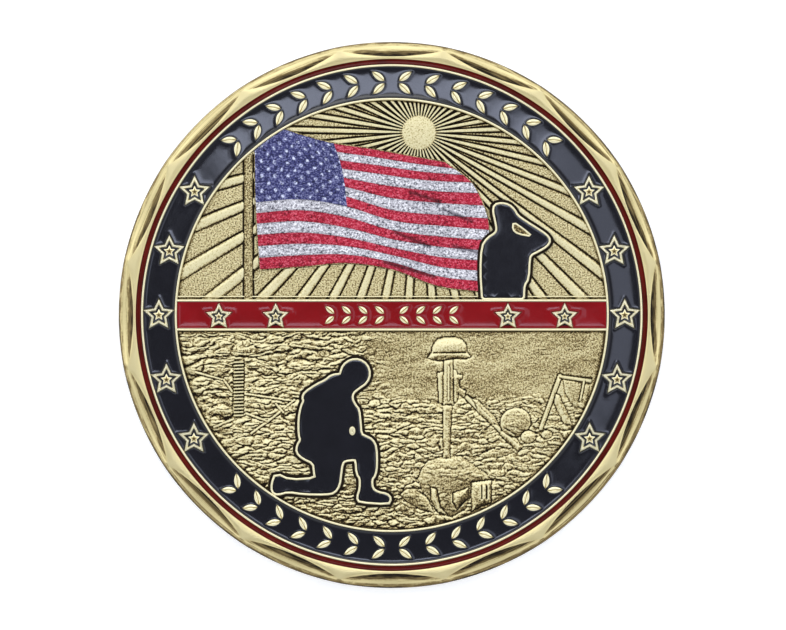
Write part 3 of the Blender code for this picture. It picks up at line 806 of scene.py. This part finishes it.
ART_FIELD = 17.4
ART_BANNER = 1.3
RISE = (FIELD - BANNER_EDGE) / (ART_FIELD - ART_BANNER)
STRETCH = FIELD / ART_FIELD


def upper(x, y):
    return np.array([x * STRETCH, BANNER_EDGE + (y - ART_BANNER) * RISE])


def lower(x, y):
    return upper(x, -y) * np.array([1, -1])


# ---------------------------------------------------------------- upper field: sun and rays

SUN = upper(2.2, 14.8)
SUN_RADIUS = 1.35
RAYS = 45
RAY_PHASE = math.radians(2.6)
LIMIT = FIELD + 0.04
PER_RAY = 26
SUN_ROWS = 10
RAY_ROWS = 66
GROOVE_WIDTH = 0.20
DISC_RISE = 0.16

spins = np.arange(RAYS * PER_RAY) * 2 * math.pi / (RAYS * PER_RAY)
half = SUN[0] * np.cos(spins) + SUN[1] * np.sin(spins)
down = np.sin(spins) < -1e-9
to_banner = np.where(down, (SUN[1] - BANNER_EDGE + 0.04) / np.where(down, -np.sin(spins), 1), 1e9)
reach = np.minimum(-half + np.sqrt(half**2 - SUN @ SUN + LIMIT**2), to_banner)
phase = ((spins - RAY_PHASE) / (2 * math.pi / RAYS)) % 1
main_ray = np.abs((phase + 0.5) % 1 - 0.5)
rings, ring_wear_and_shade = [], []
for row in range(SUN_ROWS + RAY_ROWS + 1):
    if row < SUN_ROWS:
        radius = np.full_like(spins, SUN_RADIUS * (row + 0.02) / SUN_ROWS)
        height = DISC_RISE - 0.05 * (row / SUN_ROWS) ** 2
        wear_and_shade = np.full_like(spins, 0.78)
    else:
        part = (row - SUN_ROWS) / RAY_ROWS
        radius = SUN_RADIUS + (reach - SUN_RADIUS) * part**1.25
        wide = 0.26 - 0.11 * smoothstep(1.5, 10.0, radius)
        cut = np.minimum(GROOVE_WIDTH / (2 * math.pi / RAYS * radius), 0.5 - wide)
        crest = 1 - smoothstep(wide - 0.04, wide + 0.01, main_ray)
        groove = smoothstep(wide - 0.02, wide + 0.02, main_ray)
        groove *= smoothstep(wide + cut, wide + cut * 0.55, main_ray)
        groove = np.maximum(groove, (main_ray > wide) * smoothstep(4.6, 2.6, radius))
        near_sun = smoothstep(SUN_RADIUS + 0.45 * (main_ray < wide) + 0.10, SUN_RADIUS, radius)
        height = (0.10 * crest - 0.05 * groove) * (1 - near_sun) + 0.11 * near_sun
        # painted shade on the rays near the field's edge and the banner
        edge_shade = smoothstep(0.30, 0.04, reach - radius)
        wear_and_shade = 0.56 + 0.30 * crest - 0.85 * groove
        wear_and_shade = wear_and_shade * (1 - 0.75 * edge_shade) * (1 - near_sun) + 0.68 * near_sun
    rings.append(spun(radius, spins, FLOOR + height) + np.array([*SUN, 0]))
    ring_wear_and_shade.append(np.clip(wear_and_shade, 0, 1))
points = np.concatenate([*rings, [[*SUN, FLOOR + DISC_RISE]]])
faces = grid_faces(len(rings), len(spins), wrap=True, flip=True)
faces += [[i, (i + 1) % len(spins), len(points) - 1] for i in range(len(spins))]
brass("sunburst_field", (points, faces, np.append(np.concatenate(ring_wear_and_shade), 0.78)), sand_metal)


# ---------------------------------------------------------------- flag

FLAG_NET = [  # from the top edge down, each row from the hoist to the fly
    [(-11.15, 16.0), (-8.1, 14.85), (-4.95, 13.97), (-1.9, 13.5), (1.2, 12.95), (4.29, 12.40)],
    [(-11.10, 12.8), (-7.8, 12.40), (-4.30, 11.75), (-0.7, 11.2), (3.0, 10.72), (6.60, 10.55)],
    [(-11.05, 9.60), (-7.6, 9.82), (-4.00, 9.30), (0.2, 8.05), (4.2, 7.65), (7.86, 7.35)],
    [(-10.90, 6.75), (-7.3, 6.92), (-3.70, 6.48), (0.1, 5.62), (4.0, 4.90), (7.40, 4.62)],
    [(-10.68, 3.70), (-7.1, 3.95), (-3.50, 4.22), (0.1, 3.68), (3.7, 2.38), (7.25, 1.90)],
]
CREASES = [((4.2, 8.55), (6.5, 7.6)), ((0.3, 6.7), (3.1, 5.55)), ((1.5, 9.95), (3.9, 9.2)),
           ((-0.6, 4.3), (3.4, 3.1)), ((5.0, 5.6), (7.2, 5.0))]
CREASE_WIDTH = 0.16
STRIPES = 13
CANTON_STRIPES = 7
CANTON_SHARE = 5 / 12
SPOT_COLUMNS = 13
SPOT_LINES = 11


def curve_weights(share_along, count):
    """How much each of count evenly spaced stations weighs on a smooth curve through them all."""
    spot = np.clip(share_along, 0, 1) * (count - 1)
    index = np.minimum(spot.astype(int), count - 2)
    t = spot - index
    pulls = ((2 * t**2 - t**3 - t) / 2, (3 * t**3 - 5 * t**2 + 2) / 2,
             (4 * t**2 - 3 * t**3 + t) / 2, (t**3 - t**2) / 2)
    weights = np.zeros((*spot.shape, count + 2))
    for shift, pull in enumerate(pulls):
        np.put_along_axis(weights, (index + shift)[..., None], pull[..., None], -1)
    # a station beyond an end carries on straight from the last two
    for beyond, end, inward in ((0, 1, 2), (count + 1, count, count - 1)):
        weights[..., end] += 2 * weights[..., beyond]
        weights[..., inward] -= weights[..., beyond]
    return weights[..., 1:-1]


def flag_place(u, v):
    """The flag's points, in the picture's millimetres: u runs from hoist to fly and v from the top down."""
    net = np.array(FLAG_NET)
    down = curve_weights(np.asarray(v, float), len(net))
    along = curve_weights(np.asarray(u, float), len(net[0]))
    return np.moveaxis(np.einsum("...r,...c,rck->...k", down, along, net), -1, 0)


def flag_fold(u, v):
    """Height of the cloth's folds, which slant down towards the fly."""
    fold = 0.5 + 0.5 * np.sin(2 * math.pi * (u * 2.1 + v * 0.55) - 0.9)
    ripple = 0.5 + 0.5 * np.sin(2 * math.pi * (u * 4.3 - v * 1.2) + 1.1)
    return 0.070 * fold * smoothstep(0.0, 0.25, u) + 0.02 * ripple


def star_spots(u, v):
    """Rows of spots over the canton, every other one shifted, from shares of its width and height."""
    column, line = u * SPOT_COLUMNS + 0.5, v * SPOT_LINES
    whole_column, whole_line = np.floor(column), np.floor(line)
    gap = np.hypot((column - whole_column - 0.5) * 0.72, (line - whole_line - 0.5) * 0.66)
    return np.where((whole_column + whole_line) % 2 == 0, smoothstep(0.25, 0.04, gap), 0.0)


def flag_part(name, node, look, hoist_side, top, bottom, columns, lines, spots=False):
    """Printed ink from one share of the flag's length to its end, or the canton's, between two heights."""
    fly_side = CANTON_SHARE if spots else 1
    u, v = np.meshgrid(np.linspace(hoist_side, fly_side, columns), np.linspace(top, bottom, lines))
    art = flag_place(u, v)
    x, y = upper(*art)
    keep = np.minimum(1, (FIELD - 0.01) / np.hypot(x, y))
    across = (v - top) / (bottom - top)
    pillow = 1 if spots else 1 - (2 * across - 1) ** 4
    fold = flag_fold(u, v)
    crease = np.min([segment_distance(*art, start, end) for start, end in CREASES], axis=0)
    shade = 0.12 * smoothstep(0.05, 0.0, fold) + 0.35 * (1 - pillow)
    attributes = {"shade": np.clip(shade + 0.75 * np.exp(-((crease / CREASE_WIDTH) ** 2)), 0, 0.9)}
    if spots:
        attributes["spots"] = star_spots(u / CANTON_SHARE, across)
    points = np.stack([x * keep, y * keep, INK + fold + 0.035 * pillow], axis=-1).reshape(-1, 3)
    fill(name, points, grid_faces(lines, columns, flip=True), look, node, **attributes)


flag_part("flag_canton", "flag_canton_ink", blue_ink, 0, 0, CANTON_STRIPES / STRIPES, 130, 120, spots=True)
for stripe in range(STRIPES):
    hoist_side = CANTON_SHARE if stripe < CANTON_STRIPES else 0.0
    colour, look = (("red", red_ink), ("white", white_ink))[stripe % 2]
    number = stripe // 2 + 1
    flag_part(f"flag_{colour}_{number}", f"flag_{colour}_stripe_{number}", look, hoist_side,
              stripe / STRIPES, (stripe + 1) / STRIPES, int(230 * (1 - hoist_side)), 13)

edge_path = [(t, 0.0) for t in np.linspace(0, 1, 40)]
edge_path += [(1.0, t) for t in np.linspace(0.04, 1, 24)]
edge_path += [(t, 1.0) for t in np.linspace(0.975, 0, 40)]
edge_path += [(0.0, t) for t in np.linspace(0.96, 0.04, 24)]
edge_path = [upper(*flag_place(u, v)) for u, v in edge_path]
edge_path = [spot * min(1, (FIELD + 0.02) / math.hypot(*spot)) for spot in edge_path]
brass("flag_edge", ridge(edge_path, 0.10, FLOOR, INK - 0.01, crest_wear_and_shade=0.35), sand_metal)

pole_path = [upper(-11.63, y) for y in np.linspace(1.2, 13.15, 60)]
hook = [upper(-11.25 + 0.62 * math.cos(turn), 3.5 + 0.62 * math.sin(turn))
        for turn in np.radians(np.arange(-85, 20, 12))]
# a dark strip beside the pole, painted as its shadow
brass("flagpole_shadow_step", ridge(pole_path, 0.50, FLOOR, FLOOR + 0.12, closed=False, crest_wear_and_shade=0.0), line_metal)
points, faces, wear_and_shade = ridge(pole_path, 0.38, FLOOR, FLOOR + 0.24, closed=False, crest_wear_and_shade=0.44)
brass("flagpole", (points, faces, np.maximum(wear_and_shade, 0)), sand_metal)
brass("flag_hook", ridge(hook, 0.09, FLOOR, FLOOR + 0.2, closed=False, crest_wear_and_shade=0.75), sand_metal)


# ---------------------------------------------------------------- silhouettes

SALUTING = [
    (7.70, 1.45), (7.45, 1.45), (7.44, 1.7), (7.32, 3.6), (7.42, 5.5), (7.85, 6.15), (8.5, 6.55),
    (8.66, 6.95), (8.5, 7.75), (8.35, 8.4), (8.42, 8.84), (8.9, 8.95), (9.45, 8.82), (9.85, 8.45),
    (10.08, 8.0), (10.8, 7.48), (11.7, 6.92), (12.45, 6.42), (12.72, 6.05), (12.5, 5.68), (11.8, 5.27),
    (11.2, 4.98), (11.04, 4.55), (10.97, 3.0), (10.62, 2.45), (10.58, 1.7), (10.58, 1.45), (10.33, 1.45),
]
ARM_WINDOW = [(9.86, 7.54), (10.63, 7.02), (11.42, 6.36), (10.22, 6.58), (9.80, 6.92)]
KNEELING = [
    (-4.05, -4.75), (-3.85, -4.15), (-3.3, -3.75), (-2.65, -3.72), (-2.1, -4.1), (-1.88, -4.75),
    (-2.1, -5.4), (-2.75, -5.85), (-3.25, -6.25), (-3.35, -6.8), (-3.05, -7.4), (-2.78, -7.7),
    (-2.68, -8.6), (-2.6, -9.75), (-2.15, -9.95), (-1.65, -10.2), (-1.37, -10.75), (-1.33, -12.2),
    (-1.45, -12.95), (-1.75, -13.3), (-1.68, -14.15), (-1.15, -14.5), (-0.45, -14.62), (-0.2, -14.9),
    (-0.35, -15.2), (-2.55, -15.05), (-2.68, -14.8), (-2.45, -14.1), (-2.45, -13.2), (-2.72, -12.85),
    (-2.8, -11.8), (-2.95, -11.6), (-3.85, -11.7), (-4.12, -12.0), (-4.25, -12.9), (-4.35, -13.75),
    (-4.7, -14.3), (-5.3, -14.42), (-7.1, -14.4), (-8.4, -14.2), (-9.3, -14.45), (-9.6, -14.25),
    (-9.6, -13.7), (-9.35, -13.0), (-8.3, -13.5), (-6.05, -13.35), (-6.18, -12.7), (-6.25, -11.95),
    (-7.2, -11.5), (-7.6, -11.1), (-7.55, -10.6), (-7.25, -10.15), (-7.42, -9.7), (-7.42, -8.4),
    (-7.25, -7.5), (-7.0, -6.95), (-7.12, -6.7), (-6.95, -6.35), (-6.05, -5.75), (-5.3, -5.4),
    (-4.85, -5.0), (-4.1, -4.9),
]
FILL_GRAIN = 0.10
FILL_RINGS = (0.06, 0.0, -0.05, -0.11, -0.19, -0.30)
FIGURE_MENISCUS = 0.25
KEEP_INSIDE = 1
NEARLY = 1e-6


def filled(outline):
    """A triangulated sheet of enamel inside an outline, with rings of points near its edge."""
    rings = [grown(outline, inset) for inset in FILL_RINGS]
    low, high = np.min(outline, axis=0), np.max(outline, axis=0)
    xs, ys = np.meshgrid(np.arange(low[0], high[0], FILL_GRAIN), np.arange(low[1], high[1], FILL_GRAIN))
    deep = outline_distance(xs, ys, outline) < FILL_RINGS[-1] - 0.04
    edge = rings[0]
    flat = [*edge, *np.stack([xs[deep], ys[deep]], axis=-1)]
    for ring in rings[1:]:
        x, y = np.array(ring).T
        flat += list(np.array(ring)[outline_distance(x, y, edge) < -0.02])
    border = [(index, (index + 1) % len(edge)) for index in range(len(edge))]
    flat = [tuple(point) for point in flat]
    corners, _, faces, *_ = delaunay_2d_cdt(flat, border, [], KEEP_INSIDE, NEARLY)
    corners = np.array([tuple(corner) for corner in corners])
    distance = -outline_distance(*corners.T, outline)
    creep = np.where(distance < 0, MENISCUS, meniscus(distance) - ENAMEL)
    return np.column_stack([corners, ENAMEL + FIGURE_MENISCUS * creep]), [list(face) for face in faces]


def silhouette(name, outline):
    """A gold line round a figure, a dark step outside the line painted as its shadow, and the enamel inside
    it.
    """
    shape = rounded(outline)
    brass(f"{name}_outline", ridge(grown(shape, GAP + LINE / 2), LINE / 2, FLOOR, LINE_TOP), line_metal)
    step = ridge(grown(shape, GAP + LINE + 0.06), 0.13, FLOOR, RIDGE - 0.05, crest_wear_and_shade=0.0)
    brass(f"{name}_shadow_step", step, line_metal)
    fill(f"{name}_fill", *filled(shape), black_enamel, f"{name}_enamel")


silhouette("saluting_figure", [upper(*point) for point in SALUTING])
silhouette("kneeling_figure", [lower(*point) for point in KNEELING])
window = rounded([upper(*point) for point in ARM_WINDOW])
brass("arm_window_outline", ridge(window, 0.10, FLOOR, LINE_TOP), line_metal)
pane = [(*point, ENAMEL + 0.015) for point in window]
brass("arm_window_ground", (pane, [list(range(len(pane)))[::-1]], [0.25] * len(pane)), sand_metal)
buckle = [lower(-3.2 + 0.13 * math.cos(turn), -9.4 + 0.24 * math.sin(turn))
          for turn in np.arange(16) * math.pi / 8]
brass("kneeling_figure_buckle", ridge(buckle, 0.13, ENAMEL - 0.02, LINE_TOP), line_metal)

edge_line = BANNER_HALF + LINE / 2
for name, y, extra, half_width, top in (("banner_line_upper", edge_line, 0.05, LINE / 2, RIDGE),
                                        ("banner_line_lower", -edge_line, 0.05, LINE / 2, RIDGE),
                                        ("banner_step", BANNER_EDGE + 0.20, 0.0, 0.06, FLOOR + 0.2)):
    end = math.sqrt(FIELD**2 - y**2) + extra
    path = [(x, y) for x in np.linspace(-end, end, 40)]
    brass(name, ridge(path, half_width, FLOOR, top, closed=False), line_metal)


# ---------------------------------------------------------------- lower field

COLUMNS = 590
ROWS = 270
OVERLAP = 0.03
SHAPE_FOOT = 0.10
GROUND_SHARE = 0.35
HIGHEST = 0.36

side_reach = math.sqrt(FIELD**2 - BANNER_EDGE**2)
X, part = np.meshgrid(np.linspace(-side_reach, side_reach, COLUMNS), np.linspace(0, 1, ROWS))
bottom_edge = -np.sqrt((FIELD + OVERLAP) ** 2 - X**2)
Y = -BANNER_EDGE + OVERLAP + (bottom_edge + BANNER_EDGE - OVERLAP) * part
# the same places in the picture's own millimetres
AX = X / STRETCH
AY = -((-Y - BANNER_EDGE) / RISE + ART_BANNER)

warp_x = AX + 0.9 * noise(AX, AY, 9, stretch=(1.2, 0.7)) + 0.25 * noise(AX, AY, 10, stretch=(0.4, 0.3))
warp_y = AY + 0.75 * noise(AX, AY, 8, stretch=(1.8, 1.0)) + 0.16 * noise(AX, AY, 11, stretch=(0.5, 0.3))
boulder, boulder_level = stones(warp_x, warp_y, 41, (2.1, 0.92))
slab, slab_level = stones(warp_x + 3.1, warp_y + 1.7, 42, (1.15, 0.36))
chip, chip_level = stones(warp_x * 1.02, warp_y * 1.03, 43, (0.50, 0.22))
grit = noise(AX, AY, 12, octaves=3, stretch=(0.35, 0.22))
horizon = -7.0 + 0.5 * noise(AX, AY, 21, stretch=(2.0, 2.0))
sky_side = smoothstep(-3.2, 0.8, AX + 1.2 * noise(AX, AY, 22, stretch=(1.5, 0.8)))
sky = sky_side * smoothstep(-0.6, 0.5, AY - horizon)
left = smoothstep(-3.0, -7.0, AX) * smoothstep(-10.5, -7.5, AY)
rough = boulder * (0.35 + 0.65 * boulder_level) * (0.35 + 0.65 * left)
rough = 0.8 * rough + slab * (0.30 + 0.70 * slab_level) * 0.55 + 0.25 * chip * chip_level
strata = noise(warp_x, warp_y, 51, octaves=3, stretch=(1.7, 0.34))
layers = noise(warp_x, warp_y, 52, octaves=3, stretch=(0.8, 0.17))
H = 0.01 + (1 - 0.90 * sky) * (0.150 * rough + 0.080 * strata + 0.040 * layers) + 0.016 * grit
H += sky * (0.05 + 0.030 * noise(AX, AY, 31, octaves=3, stretch=(1.3, 0.7)))
H += 0.04 * noise(AX, AY, 30, octaves=2, stretch=(4, 3))


def profile_bar(distance, half_width, height):
    return height * np.sqrt(np.clip(1 - (distance / half_width) ** 2, 0, 1)) ** 0.6


def place(distance, height, outline=0.09, depth=0.09):
    """Raises a shape above the ground where distance is negative, with a cut-in shadow round it."""
    global H
    ground = H - depth * np.exp(-np.clip(distance, 0, None) / outline)
    ground_below = GROUND_SHARE * (ground - SHAPE_FOOT) * smoothstep(0, -0.4, distance)
    H = np.where(distance < 0, SHAPE_FOOT + height + ground_below, ground)


def bar(a, b, half_width, height, **cut):
    distance = segment_distance(AX, AY, a, b)
    place(distance - half_width, profile_bar(distance, half_width, height), **cut)


def blob(centre, radii, height, power=0.5, tilt=0.0, **cut):
    dx, dy = AX - centre[0], AY - centre[1]
    c, s = math.cos(tilt), math.sin(tilt)
    rho = np.hypot((dx * c + dy * s) / radii[0], (-dx * s + dy * c) / radii[1])
    place((rho - 1) * min(radii), height * np.clip(1 - rho**2, 0, 1) ** power, **cut)


def patch(outline, height, bulge=0.3, **cut):
    distance = outline_distance(AX, AY, [np.asarray(point, float) for point in outline])
    place(distance, height * (1 - np.exp(np.clip(distance, -9, 0) / bulge)), **cut)


# wire, fence post and ladder on the left
for a, b in (((-16.8, -4.4), (-13.6, -5.3)), ((-13.6, -5.3), (-12.8, -6.4)), ((-11.9, -6.4), (-7.9, -7.0)),
             ((-14.4, -9.1), (-11.8, -8.0)), ((-11.4, -9.6), (-9.6, -8.3)), ((-9.6, -8.3), (-7.9, -6.9)),
             ((-11.8, -8.0), (-10.2, -8.6)), ((-9.4, -7.2), (-8.8, -7.9))):
    bar(a, b, 0.10, 0.11, depth=0.06)
patch([(-12.75, -3.7), (-11.95, -3.5), (-12.05, -8.2), (-12.95, -8.5)], 0.05)
for rung in range(17):
    y = -3.85 - 0.27 * rung
    bar((-12.75, y), (-12.1, y + 0.03), 0.085, 0.13, depth=0.03, outline=0.05)

# tent frame on the right
patch([(13.9, -5.2), (16.1, -5.5), (15.7, -7.6), (14.6, -7.2), (14.1, -6.3)], 0.05)
bar((13.65, -4.95), (12.1, -9.2), 0.17, 0.17)
patch([(13.25, -6.4), (13.6, -6.5), (14.7, -8.9), (14.0, -8.9), (13.2, -7.2)], 0.14)
bar((13.7, -5.0), (16.1, -5.35), 0.13, 0.15)
bar((15.6, -5.4), (15.3, -6.9), 0.08, 0.10)

# rifle leaning down to the right, and the helmet beside it
patch([(7.0, -11.4), (8.2, -10.9), (9.4, -10.8), (9.9, -11.1), (8.9, -11.5), (7.4, -11.6)], 0.06)
bar((6.1, -6.7), (10.3, -10.8), 0.17, 0.16)
patch([(6.5, -6.8), (7.0, -6.9), (8.4, -8.3), (8.7, -8.9), (8.1, -8.9), (7.0, -7.9)], 0.14)
patch([(8.9, -9.2), (9.4, -9.3), (10.7, -10.7), (10.2, -11.1), (8.8, -9.7)], 0.17)
blob((10.05, -8.70), (1.25, 1.15), 0.20, 0.4, tilt=0.3)
bar((9.2, -9.3), (9.9, -9.75), 0.10, 0.10, depth=0.05)
blob((11.1, -9.9), (0.62, 0.52), 0.15, 0.5)
blob((12.6, -9.7), (0.45, 0.35), 0.10, 0.6)

# boulders and slotted crate at the foot
patch([(0.7, -14.6), (1.2, -14.0), (1.9, -14.1), (2.9, -14.9), (3.4, -16.0), (2.4, -15.8),
       (1.2, -15.1)], 0.12)
patch([(2.1, -13.3), (2.5, -12.4), (3.0, -11.8), (4.1, -11.5), (5.6, -11.45), (6.6, -12.1), (7.7, -12.9),
       (8.2, -13.4), (6.9, -13.6), (6.4, -14.4), (6.1, -15.6), (4.9, -16.4), (3.8, -16.1), (3.1, -15.0),
       (2.5, -14.3)], 0.17, bulge=0.7)
patch([(3.1, -13.9), (3.7, -14.1), (4.0, -15.6), (4.5, -16.2), (3.8, -16.0), (3.2, -15.0)], 0.19, depth=0.06)
patch([(4.9, -14.4), (6.3, -13.9), (6.2, -14.9), (5.3, -15.9), (4.9, -15.2)], 0.15, depth=0.02)
patch([(6.5, -13.6), (8.1, -13.4), (8.1, -15.2), (6.5, -15.9)], 0.17)
for slot_x in (7.30, 7.70):
    H -= 0.12 * (1 - smoothstep(0.04, 0.09, segment_distance(AX, AY, (slot_x, -13.9), (slot_x, -14.9))))

# rifle standing on its muzzle, with the helmet on its stock
patch([(4.15, -7.0), (4.90, -7.0), (4.72, -11.6), (4.18, -11.6)], 0.14)
patch([(3.72, -4.7), (4.2, -4.6), (4.3, -7.3), (3.85, -7.1)], 0.14)
patch([(4.9, -4.4), (5.25, -4.5), (5.3, -4.8), (5.75, -4.9), (5.7, -5.2), (5.45, -5.3), (5.5, -5.9),
       (6.0, -6.2), (5.9, -6.7), (5.4, -6.4), (5.3, -7.1), (4.9, -7.2)], 0.13)
patch([(4.22, -3.5), (4.95, -3.5), (5.02, -7.3), (4.2, -7.3)], 0.19)
bar((4.62, -4.2), (4.62, -6.9), 0.08, 0.12, depth=0.06, outline=0.06)
patch([(2.95, -3.48), (3.25, -3.05), (3.36, -2.45), (3.70, -2.0), (4.35, -1.80), (5.1, -1.80),
       (5.72, -2.02), (6.04, -2.45), (6.1, -3.0), (6.4, -3.42), (5.9, -3.58), (5.2, -3.50), (4.6, -3.64),
       (3.9, -3.72), (3.3, -3.62)], 0.23, bulge=0.35)
brim_line = segment_distance(AX, AY, (3.4, -3.10), (6.0, -3.06))
H -= 0.06 * np.exp(-((brim_line / 0.09) ** 2))

H = np.minimum(H, HIGHEST)
cavity = H - blur(H, 10)
fine_cavity = H - blur(H, 3)
down_slope, side_slope = [blur(slope, 1) / (2 * FIELD / COLUMNS) for slope in np.gradient(H)]
# The slopes paint light from the upper left onto the ground: slopes facing up and left are lighter, those
# facing down and right darker. The sky part also gets broad soft streaks of lighter and darker tone, the
# field goes darker towards the bottom, and rim_shadow is a painted shadow along the field's edge and the
# banner.
wear_and_shade = 0.51 + 10.0 * cavity + 14.0 * fine_cavity + 1.0 * down_slope + 0.45 * side_slope
wear_and_shade += 0.30 * sky * (noise(AX + AY, AY - 0.3 * AX, 61, octaves=3, stretch=(2.6, 0.7)) - 0.5)
wear_and_shade += 0.10 * noise(AX, AY, 60, octaves=2, stretch=(3.5, 1.6)) - 0.10 * smoothstep(-12.0, -15.0, AY)
rim_shadow = smoothstep(0.32, 0.02, np.minimum(FIELD - np.hypot(X, Y), -Y - BANNER_EDGE + 0.05))
wear_and_shade = np.clip(wear_and_shade, 0, 1) * (1 - 0.7 * rim_shadow)
points = np.stack([X, Y, FLOOR + H], axis=-1).reshape(-1, 3)
brass("battlefield", (points, grid_faces(ROWS, COLUMNS, flip=True), wear_and_shade), relief_metal)


# ---------------------------------------------------------------- reverse

REVERSE_TURNS = 480
REVERSE_ROWS = 120
REVERSE_RELIEF = 0.25
WREATH_LEAVES = 20
WREATH_LEAN = math.radians(24)

spin, reach = np.meshgrid(np.arange(REVERSE_TURNS) * 2 * math.pi / REVERSE_TURNS,
                          np.linspace(0.02, RIM_INNER + 0.005, REVERSE_ROWS))
x, y = reach * np.cos(spin), reach * np.sin(spin)
star_gap = outline_distance(x, y, star((0, 0), 8.5))
wreath_turns = [2 * math.pi * number / WREATH_LEAVES for number in range(WREATH_LEAVES)]
wreath = [leaf_outline(polar(14.8, turn), 4.2, 1.5, turn + math.pi / 2 + WREATH_LEAN)
          for turn in wreath_turns]
leaf_gap = island_distance(x, y, wreath, reach=0.6)
relief = REVERSE_RELIEF * np.maximum(smoothstep(0.05, -0.35, star_gap), smoothstep(0.05, -0.25, leaf_gap))
dark = np.exp(-np.minimum(np.abs(star_gap), np.abs(leaf_gap)) / 0.12)
rim_dark = smoothstep(0.6, 0.0, RIM_INNER - reach)
wear_and_shade = np.clip(0.50 + 1.9 * relief - 0.40 * dark - 0.45 * rim_dark, 0, 1)
points = np.stack([x, y, REVERSE_FLOOR - relief], axis=-1).reshape(-1, 3)
points = np.concatenate([points, [[0, 0, REVERSE_FLOOR - REVERSE_RELIEF]]])
faces = grid_faces(REVERSE_ROWS, REVERSE_TURNS, wrap=True)
faces += [[(i + 1) % REVERSE_TURNS, i, len(points) - 1] for i in range(REVERSE_TURNS)]
brass("reverse_field", (points, faces, np.append(wear_and_shade, 1.0)), sand_metal)

for piece in body_pieces:
    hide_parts("coin_body")
for piece in body_pieces + fills:
    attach(piece, "root")


# ---------------------------------------------------------------- floor, light and camera

FLOOR_SIZE = 2.0
FLOOR_DEPTH = 0.00005

floor_look = Shader("studio_floor", 0.9, 0.0)
paleness = floor_look.ramp(floor_look.noise(40, 2.0), [(0.3, (0.97, 0.97, 0.97)), (0.7, (0.98, 0.98, 0.98))])
floor_look.link(paleness, floor_look.surface.inputs["Base Color"])
floor_look.surface.inputs["Emission Color"].default_value = (1, 1, 1, 1)
floor_look.surface.inputs["Emission Strength"].default_value = 0.30
bpy.ops.mesh.primitive_plane_add(size=FLOOR_SIZE, location=(0, 0, -FLOOR_DEPTH))
floor = bpy.context.object
floor.name = "studio_floor"
floor.data.materials.append(floor_look.material)

bpy.context.scene.view_settings.view_transform = "Standard"

# how bright the sky is at shares of the way from straight overhead down to the horizon
SKY_LEVELS = ((0.0, 0.13), (0.12, 0.13), (0.24, 0.70), (0.36, 0.85), (0.70, 0.85), (1.0, 0.50))
SKY_STRENGTH = 2.0
SKY_TINT = (0.96, 0.99, 1.04)
PATCH_TINT = (0.92, 1.00, 1.26)


def studio_world():
    """A soft box overhead with a dark middle, where the camera is, and a brighter patch to one side of it."""
    world = bpy.data.worlds.new("studio")
    bpy.context.scene.world = world
    world.use_nodes = True
    sky = Nodes(world.node_tree)
    split = sky.node("ShaderNodeSeparateXYZ")
    sky.link(sky.node("ShaderNodeTexCoord").outputs["Generated"], split.inputs[0])

    def step(value, low, high):
        return sky.spread(value, low, high, 0, 1, "SMOOTHSTEP")

    def along(x, y):
        return sky.math("ADD", sky.math("MULTIPLY", split.outputs["X"], x),
                        sky.math("MULTIPLY", split.outputs["Y"], y))

    overhead = sky.math("ARCCOSINE", split.outputs["Z"], 0.0)
    ring = sky.ramp(sky.math("DIVIDE", overhead, math.pi / 2),
                    [(spot, (level, level, level)) for spot, level in SKY_LEVELS], "EASE")
    edge = step(along(0.60, 0.80), 0.006, 0.011)
    zone = sky.math("MULTIPLY", step(overhead, 0.045, 0.060), step(overhead, 0.165, 0.125))
    inside = sky.math("MULTIPLY", edge, zone)
    bright = sky.math("ADD", 1.6, sky.math("MULTIPLY", step(along(-0.55, 0.83), 0.015, 0.055), 3.4))
    towards_top = sky.math("ADD", 0.66, sky.math("MULTIPLY", step(split.outputs["Y"], -0.45, 0.45), 0.34))
    ring_level = sky.math("MULTIPLY", ring, sky.math("MULTIPLY", towards_top, SKY_STRENGTH))
    background = sky.tree.nodes["Background"]
    sky.link(sky.mix(inside, SKY_TINT, PATCH_TINT), background.inputs["Color"])
    sky.link(sky.math("ADD", ring_level, sky.math("MULTIPLY", inside, bright)), background.inputs["Strength"])


studio_world()

key_data = bpy.data.lights.new("key_softbox", "AREA")
key_data.shape = "RECTANGLE"
key_data.size = 0.05
key_data.size_y = 0.03
key_data.energy = 0.014
key = bpy.data.objects.new("key_softbox", key_data)
key.location = (-0.012, 0.064, 0.18)
key.rotation_euler = (math.radians(-20), 0, 0)
bpy.context.scene.collection.objects.link(key)

# the coin takes up this share of the frame's width, seen from straight above
COIN_SHARE = 547 / 786
CAMERA_HEIGHT = 0.45
CAMERA_ASIDE = 0.0001
SENSOR = 36
camera_data = bpy.data.cameras.new("camera")
camera_data.sensor_width = SENSOR
camera_data.lens = SENSOR * (CAMERA_HEIGHT - TOP * MM) / (2 * RADIUS * MM / COIN_SHARE)
camera = bpy.data.objects.new("camera", camera_data)
camera.location = (CAMERA_ASIDE, 0.0, CAMERA_HEIGHT)
bpy.context.scene.collection.objects.link(camera)
bpy.context.scene.camera = camera
